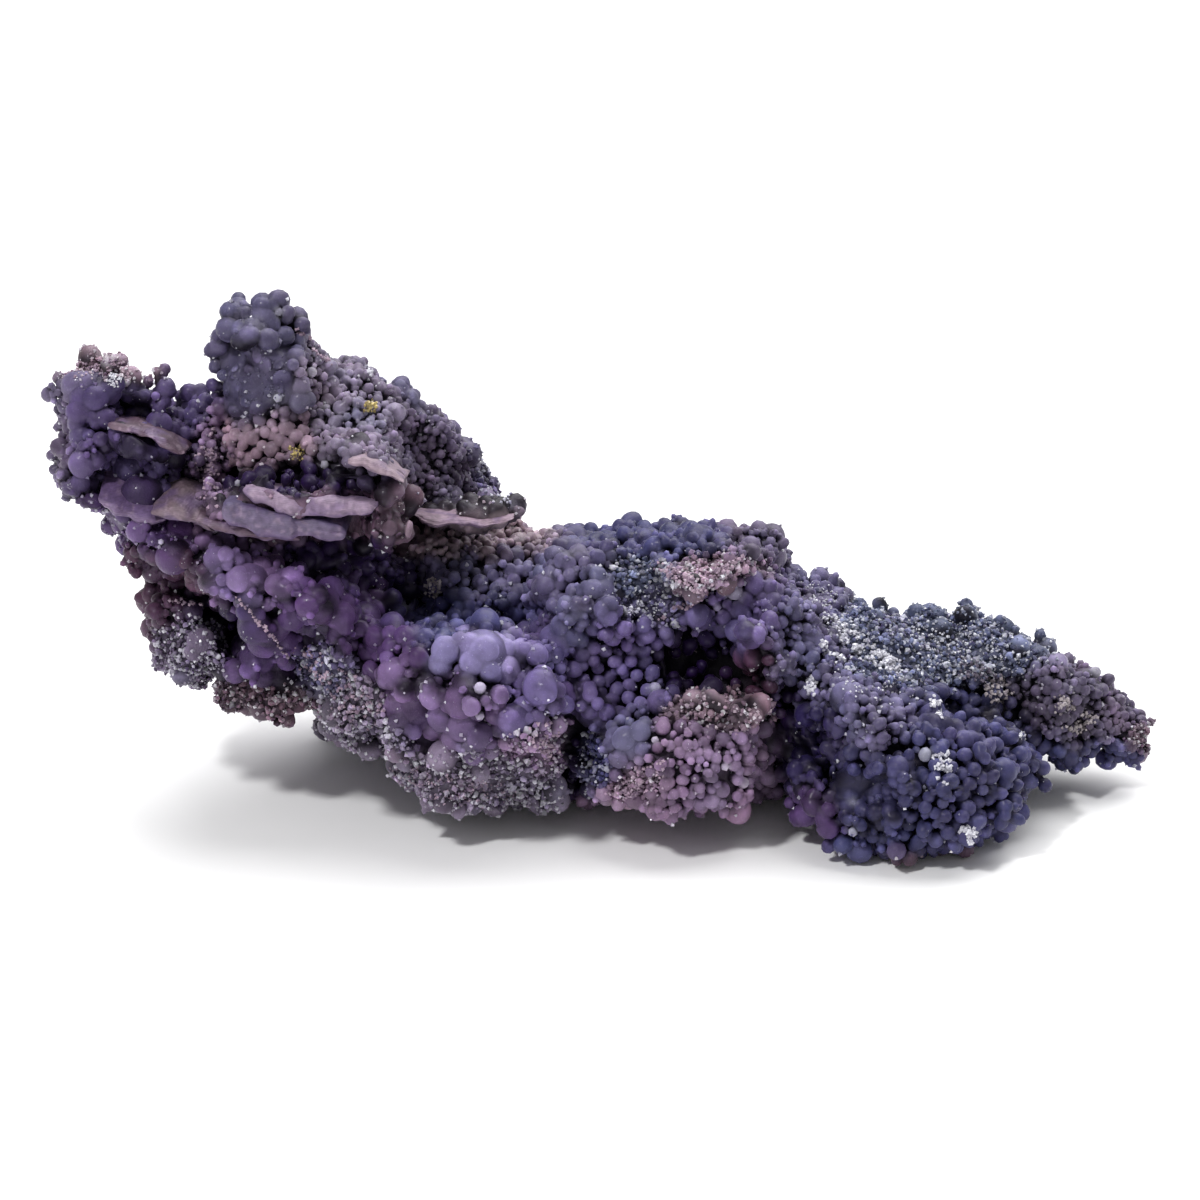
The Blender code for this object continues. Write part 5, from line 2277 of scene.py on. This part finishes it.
    def spread(
        self,
        corners: Array,
        normal: Array,
        tones: Array,
        size: tuple[float, float],
        rng: np.random.Generator,
    ) -> None:
        """Adds a crystal on each of the triangles.

        Args:
            corners: the triangles' corners.
            normal: the directions out of them.
            tones: the crystals' colours.
            size: least and greatest half-width in millimetres.
            rng: the source of chance.
        """
        share = rng.dirichlet((1, 1, 1), len(corners))
        places = np.einsum("ij,ijk->ik", share, corners)
        sizes = rng.uniform(*size, len(corners)) * MM
        places = places + unit(normal) * sizes[:, None] * self.LYING
        self.places.extend(places)
        self.sizes.extend(sizes)
        self.tones.extend(tones)

    def mesh(self, finish: CrystalFinish, rng: np.random.Generator) -> bpy.types.Object:
        """All the crystals as one piece.

        Args:
            finish: what the crystals look like.
            rng: the source of chance.

        Returns:
            The object.
        """
        count = len(self.places)
        places = np.array(self.places)
        shape = self.CORNERS[None] * np.array(self.sizes)[:, None, None]
        corners = len(self.CORNERS)
        shape = shape * rng.uniform(*self.UNEVEN, (count, corners, 1))
        turn = np.linalg.qr(rng.normal(size=(count, 3, 3)))[0]
        points = np.einsum("nij,nvj->nvi", turn, shape) + places[:, None]
        points[:, :, 2] = np.maximum(points[:, :, 2], self.LOWEST)
        mirrored = np.linalg.det(turn) < 0
        faces = np.repeat(self.FACES[None], count, axis=0)
        faces[mirrored] = faces[mirrored][:, :, ::-1]
        faces = faces + (np.arange(count) * corners)[:, None, None]
        piece = mesh_object(self.NAME, points.reshape(-1, 3), faces.reshape(-1, 3))
        tones = np.clip(np.array(self.tones), 0, self.PALEST)
        write_tones(piece.data, "POINT", np.repeat(tones, corners, axis=0))
        piece.data.materials.append(finish.material())
        LOG.info("%s: %d crystals", self.NAME, count)
        return piece


@dataclass
class Glitter(CrystalDust):
    """The smallest bright crystals, strewn over the whole stone in drifts, as one mesh of tetrahedra.

    Their near-white colour is partly their own frost and partly painted glints.
    """

    most: int = 4500

    NAME = "glitter"
    DRIFT = 2.6  # width of the drifts in millimetres
    DENSE = 9.0  # how much denser they are in the middle
    SIZE = (0.05, 0.15)
    AT_BACK = 0.35  # how many there are on the back, of those added on the showy side
    TURN = (-0.2, 0.2)  # cosines of the turn to the viewer between which the showy side begins
    CORNERS = np.array([(1, 1, 1), (1, -1, -1), (-1, 1, -1), (-1, -1, 1)]) * 0.8
    FACES = np.array([(0, 1, 2), (0, 3, 1), (0, 2, 3), (1, 3, 2)])

    def strew(self, rng: np.random.Generator) -> None:
        """Places all the crystals.

        Args:
            rng: the source of chance.
        """
        corners = []
        for piece in self.pieces:
            points, triangles = mesh_arrays(piece.data)
            corners.append(points[triangles])
        corners = np.concatenate(corners)
        normal = face_normals(corners)
        middles = corners.mean(axis=1)
        drift = np.array([noise.noise(Vector(p) / (self.DRIFT * MM)) for p in middles])
        showy = self.AT_BACK + smoothstep(*self.TURN, unit(normal) @ self.view.back())
        chance = np.linalg.norm(normal, axis=1) * np.exp(drift * self.DENSE) * showy
        picked = rng.choice(len(corners), self.most, p=chance / chance.sum())
        tones = self.zones.mixed(self.zones.weights(middles[picked]), self.zones.tones)
        # near-white: partly the crystals' own frost, partly painted glints
        tones = tones + (Tone.FROST.linear() - tones) * rng.random((self.most, 1)) ** 2
        self.spread(corners[picked], normal[picked], tones, self.SIZE, rng)


@dataclass(frozen=True)
class LedgeFinish:
    """Old crust with fine growth lines.

    Attributes:
        lines: growth lines in a metre.
        winding: how much they wind.
        line_detail: how finely their winding is divided.
        line_tones: least and greatest brightness of the lines.
        patches: clouds in a metre.
        clouds: least and greatest brightness in them.
        grain: grains in a metre.
        grainy: share of the relief that is grains and not lines.
        roughness: how dull it is.
        relief: height of the relief in metres.
        relief_strength: how much of it shows.
    """

    lines: float = 1300.0
    winding: float = 5.0
    line_detail: float = 2.0
    line_tones: tuple[float, float] = (0.92, 1.06)
    patches: float = 1100.0
    clouds: tuple[float, float] = (0.75, 1.2)
    grain: float = 2600.0
    grainy: float = 0.5
    roughness: float = 0.6
    relief: float = 0.00012
    relief_strength: float = 0.5

    def material(self) -> bpy.types.Material:
        """The finish as a material.

        Returns:
            The material.
        """
        nodes = Nodes("old_crust")
        place = nodes.add("ShaderNodeTexCoord").outputs["Object"]
        inputs = {
            "Vector": place,
            "Scale": self.lines,
            "Distortion": self.winding,
            "Detail": self.line_detail,
        }
        waves = nodes.add("ShaderNodeTexWave", inputs, bands_direction="Z").outputs["Fac"]
        lined = nodes.mix(1.0, nodes.tone(), nodes.ranged(waves, (0, 1), self.line_tones), "MULTIPLY")
        height = nodes.mix(self.grainy, waves, nodes.noise(self.grain))
        return nodes.shade(
            {
                "Base Color": nodes.clouded(lined, self.patches, self.clouds),
                "Roughness": self.roughness,
                "Normal": nodes.bump(height, self.relief_strength, self.relief),
            }
        )


@dataclass(frozen=True)
class Ledge:
    """A ragged plate of old crust that stands out of the stone.

    Attributes:
        name: what it is called.
        edge: its front edge in the photograph, as pixels from left to right.
        front: Y of its front edge in millimetres.
        depth: how far back it reaches, in millimetres.
        thick: its thickness in millimetres.
        rise: how much higher its back is than its front, in millimetres.
        tone: colour.
    """

    name: str
    edge: tuple[tuple[int, int], ...]
    front: float
    depth: float
    thick: float
    rise: float
    tone: Tone

    ALONG = 150  # points along it
    EDGE = 13  # points up its front edge
    FACE = 9  # points from front to back on each of its faces
    RAGGED = ((5.0, 1.5), (1.5, 0.7))  # widths of its bays and by how much they run in, in millimetres
    LIP = 1.0  # millimetres by which the middle of its edge stands out
    LAYERS = 2.5  # thin layers that show in its edge
    GROOVE = 0.1  # millimetres by which the layers stand apart
    GRAIN = (2.6, 1.5, 1.0)  # lengths of its lumps along X, Y and Z, in millimetres
    LUMP = 0.35  # their height in millimetres
    TAPER = 0.35  # how suddenly its ends come to a point
    WAVE = (5.5, 0.7)  # width and height of the waves by which it runs up and down, in millimetres
    SWELL = (3.2, 0.5)  # width of its thicker places in millimetres, and how much thicker they are
    RETREAT = 2.2  # millimetres by which its ends lie back
    SPAN = (0.004, 0.996)  # where along the edge it starts and ends, as shares
    PATCHES = (2.6, 0.8)  # widths of its dark clouds and of its pale specks, in millimetres
    CLOUD = (-0.1, 0.5)  # the noise between which a cloud begins
    CLOUD_DARK = 0.7
    UNDERSIDE = -0.5  # the share of its height under which it counts as its underside
    # painted shade on the underside: how far its colour goes towards plum
    UNDER_SHADE = 0.5
    DARKEST = 0.9
    SPECK = (0.1, 0.5)  # the noise between which a pale speck begins
    SPECK_PALE = 0.2
    EDGE_PALE = 0.12
    EDGE_FALL = 4  # how suddenly the pale edge ends above and below
    PALEST = 0.4

    def outline(self) -> Array:
        """Its cross-section: how far back each point lies and how high, as shares.

        Returns:
            The points, one row each.
        """
        rise = np.linspace(-1, 1, self.EDGE)
        back = np.linspace(0, 1, self.FACE + 1)[1:]
        front = np.stack([np.zeros(self.EDGE), rise], axis=1)
        top = np.stack([back, np.ones(self.FACE)], axis=1)
        bottom = np.stack([back[::-1], -np.ones(self.FACE)], axis=1)
        return np.concatenate([front, top, bottom])

    def build(self, view: PhotoView, finish: bpy.types.Material) -> bpy.types.Object:
        """The plate as a closed mesh.

        Args:
            view: the photograph's viewpoint.
            finish: its material.

        Returns:
            The new object.
        """
        path = np.array([view.at_depth(u, v, self.front * MM) for u, v in self.edge]) / MM
        share = np.linspace(*self.SPAN, self.ALONG)
        marks = np.linspace(0, 1, len(path))
        edge = np.stack([np.interp(share, marks, path[:, i]) for i in range(3)], axis=1)
        across = edge[:, 0]
        edge[:, 2] += self.bays(across, self.WAVE[0]) * self.WAVE[1]
        thicker = self.bays(across, self.SWELL[0]) * self.SWELL[1]
        taper = np.sin(math.pi * share) ** self.TAPER * (1 + thicker)
        outline = self.outline()
        back = outline[None, :, 0]
        rise = outline[None, :, 1]
        lip = (1 - rise**2) * self.LIP + np.cos(math.pi * rise * self.LAYERS) * self.GROOVE
        start = sum(self.bays(across, width) * deep for width, deep in self.RAGGED)
        start = (start + self.RETREAT * (1 - taper))[:, None] - lip * (back == 0)
        spots = np.zeros((self.ALONG, len(outline), 3))
        spots[:, :, 0] = edge[:, :1]
        spots[:, :, 1] = edge[:, 1:2] + start + (self.depth - start) * back
        spots[:, :, 2] = edge[:, 2:] + self.rise * back + rise * self.thick / 2 * taper[:, None]
        spots = spots.reshape(-1, 3)
        spots += [noise.noise_vector(Vector(p / self.GRAIN)) * self.LUMP for p in spots]
        points = spots * MM
        around = len(outline)
        rows = np.arange(self.ALONG - 1)[:, None] * around
        first = (rows + np.arange(around)).ravel()
        second = (rows + (np.arange(around) + 1) % around).ravel()
        far, farther = second + around, first + around
        last = len(points) - around
        fan = np.arange(1, around - 1)
        faces = np.concatenate(
            [
                np.stack([first, second, far], axis=1),
                np.stack([first, far, farther], axis=1),
                np.stack([fan * 0, fan + 1, fan], axis=1),
                np.stack([fan * 0 + last, fan + last, fan + 1 + last], axis=1),
            ]
        )
        piece = mesh_object(self.name, points, faces)
        write_tones(piece.data, "POINT", self.tones(points, outline))
        piece.data.shade_smooth()
        piece.data.materials.append(finish)
        return piece

    def bays(self, across: Array, width: float) -> Array:
        """How far the edge runs in and out along X, between about -1 and 1."""
        return np.array([noise.noise(Vector((x / width, self.front, width))) for x in across])

    def tones(self, points: Array, outline: Array) -> Array:
        """The colour of every point: pale along the edge, plum in clouds, and plum underneath as painted
        shade.

        Args:
            points: its points.
            outline: its cross-section.

        Returns:
            The colours, one row of three each.
        """
        cloud, fine = (
            np.array([noise.noise(Vector(p) / (width * MM)) for p in points])
            for width in self.PATCHES
        )
        back, height = outline.T
        edge = np.tile((back == 0) * (1 - height**self.EDGE_FALL), self.ALONG)
        under = np.tile(height < self.UNDERSIDE, self.ALONG)
        # plum clouds of the crust, and painted shade on the underside
        dark = smoothstep(*self.CLOUD, -cloud) * self.CLOUD_DARK + under * self.UNDER_SHADE
        pale = smoothstep(*self.SPECK, fine) * self.SPECK_PALE + edge * self.EDGE_PALE
        own = self.tone.linear()
        mixed = own + (Tone.PLUM.linear() - own) * np.clip(dark, 0, self.DARKEST)[:, None]
        return mixed + (Tone.PINK.linear() - mixed) * np.clip(pale, 0, self.PALEST)[:, None]


LEDGES: tuple[Ledge, ...] = (
    Ledge(
        "upper_ledge",
        ((243, 494), (262, 499), (300, 506), (340, 508), (378, 506)),
        -23, 16, 2.9, -3.4, T.MAUVE,
    ),
    Ledge("lower_ledge", ((221, 512), (250, 518), (290, 527), (345, 534)), -23.5, 17, 4.0, -2.6, T.DUSK),
    Ledge("lowest_ledge", ((196, 520), (225, 527), (262, 534), (300, 541)), -22, 15, 1.8, -2.4, T.RUST),
    Ledge("tan_ledge", ((348, 466), (362, 464), (385, 470), (404, 482)), -21.5, 13, 1.5, -2.6, T.TAN),
    Ledge("long_plate", ((404, 514), (440, 520), (480, 523), (514, 520)), -4.5, 6, 1.0, -0.6, T.CLAY),
    Ledge("wing_ledge", ((108, 426), (130, 427), (160, 440), (184, 455)), -11.5, 12, 1.5, -2.0, T.RUST),
    Ledge("sheet_edge", ((97, 503), (115, 510), (140, 517), (165, 519)), -15, 12, 1.8, 2.6, T.PLUM),
    Ledge("sheet_roll", ((150, 516), (175, 514), (196, 520), (214, 530)), -17.5, 12, 2.0, 1.0, T.BROWN),
)


@dataclass
class Studio:
    """The floor, the lights and the colours of the picture.

    Attributes:
        floor_size: width of the floor.
        sky: strength of the light from all around.
        sun: strength of the large lamp overhead.
        softness: how wide the lamp looks, in degrees.
        tilt: degrees by which it stands towards the back.
        aside: degrees by which it stands to the right.
        glints: power of the small lamp that makes the glints, in watts.
        glint_size: its width.
        glint_place: where it hangs.
        glint_aim: the place that it points at.
        floor_gap: how far the floor lies under the stone's feet.
        clouds: faint clouds of the floor's paper in a metre.
        paper: least and greatest brightness of the paper.
        paper_roughness: how dull it is.
        white: the colour of the light and of the background.
    """

    floor_size: float = 12.0
    sky: float = 0.38
    sun: float = 3.6
    softness: float = 66.0
    tilt: float = 28.0
    aside: float = 13.0
    glints: float = 3.0
    glint_size: float = 0.08
    glint_place: tuple[float, float, float] = (-0.3, -0.35, 0.6)
    glint_aim: tuple[float, float, float] = (0.0, 0.0, 0.03)
    floor_gap: float = 0.05 * MM
    clouds: float = 30.0
    paper: tuple[float, float] = (0.93, 0.96)
    paper_roughness: float = 0.9
    white: tuple[float, ...] = (1.0, 1.0, 1.0, 1.0)

    def build(self) -> None:
        """Makes the floor and the lights."""
        half = self.floor_size / 2
        corners = np.array([(-half, -half, 0), (half, -half, 0), (half, half, 0), (-half, half, 0)])
        floor = mesh_object("floor", corners, np.array([(0, 1, 2), (0, 2, 3)]))
        floor.location.z = -self.floor_gap
        nodes = Nodes("paper")
        paper = nodes.ranged(nodes.noise(self.clouds), MOST_NOISE, self.paper)
        finish = nodes.shade({"Base Color": paper, "Roughness": self.paper_roughness})
        floor.data.materials.append(finish)
        lamp = bpy.data.lights.new("overhead", "SUN")
        lamp.energy = self.sun
        lamp.angle = math.radians(self.softness)
        sun = bpy.data.objects.new("overhead", lamp)
        sun.rotation_euler = (-math.radians(self.tilt), math.radians(self.aside), 0)
        bpy.context.scene.collection.objects.link(sun)
        small = bpy.data.lights.new("glints", "AREA")
        small.energy = self.glints
        small.size = self.glint_size
        glints = bpy.data.objects.new("glints", small)
        glints.location = self.glint_place
        aim = Vector(self.glint_aim) - Vector(self.glint_place)
        glints.rotation_euler = aim.to_track_quat("-Z", "Y").to_euler()
        bpy.context.scene.collection.objects.link(glints)
        self.world()
        bpy.context.scene.view_settings.view_transform = "Standard"

    def world(self) -> None:
        """Makes the light from all around, and the white that the camera sees behind."""
        world = bpy.data.worlds.new("room")
        world.use_nodes = True
        tree = world.node_tree
        soft = tree.nodes["Background"]
        soft.inputs["Strength"].default_value = self.sky
        white = tree.nodes.new("ShaderNodeBackground")
        mixed = tree.nodes.new("ShaderNodeMixShader")
        path = tree.nodes.new("ShaderNodeLightPath")
        for background in (soft, white):
            background.inputs["Color"].default_value = self.white
        tree.links.new(path.outputs["Is Camera Ray"], mixed.inputs[0])
        tree.links.new(soft.outputs[0], mixed.inputs[1])
        tree.links.new(white.outputs[0], mixed.inputs[2])
        tree.links.new(mixed.outputs[0], tree.nodes["World Output"].inputs[0])
        bpy.context.scene.world = world


SECTIONS: tuple[Section, ...] = (
    Section("wing", -100, -63),
    Section("tower", -63, -44),
    Section("belly", -44, -25),
    Section("hanging_lobe", -25, -6),
    Section("middle_lobe", -6, 13),
    Section("middle_end", 13, 31),
    Section("arm", 31, 52),
    Section("arm_end", 52, 100),
)


def adopt(piece: bpy.types.Object) -> None:
    """Makes a piece part of the grape agate.

    Args:
        piece: the piece.
    """
    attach(piece, BODY)
    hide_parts(NODE)


def main() -> None:
    """Builds the grape agate, the camera and the studio."""
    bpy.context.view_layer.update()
    view = PhotoView()
    view.camera()
    Studio().build()
    zones = ZoneMap(view, ZONES)
    skin = Skin(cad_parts[NODE], view, zones)
    LOG.info("skin: %d triangles", len(skin.triangles))
    balls = GrapeCover(view, skin, zones).build()
    shapes = BallShapes()
    stone = Core(skin, zones)
    core = stone.build()
    LOG.info("core: %d triangles", triangle_count(core))
    dresser = Dresser(balls, stone)
    chalcedony = ChalcedonyFinish().material()
    pieces = []
    for section in SECTIONS:
        piece = section.build(core, balls, shapes)
        dresser.dress(piece)
        piece.data.materials.clear()
        piece.data.materials.append(chalcedony)
        adopt(piece)
        pieces.append(piece)
    bpy.data.objects.remove(core)
    old_crust = LedgeFinish().material()
    for ledge in LEDGES:
        piece = ledge.build(view, old_crust)
        adopt(piece)
        pieces.append(piece)
        LOG.info("%s: %d triangles", ledge.name, triangle_count(piece))
    stones = pieces[: len(SECTIONS)]
    for crystals in (CrystalDust(view, zones, stones), Glitter(view, zones, stones)):
        adopt(crystals.build(CrystalFinish()))


if __name__ == "__main__":
    main()
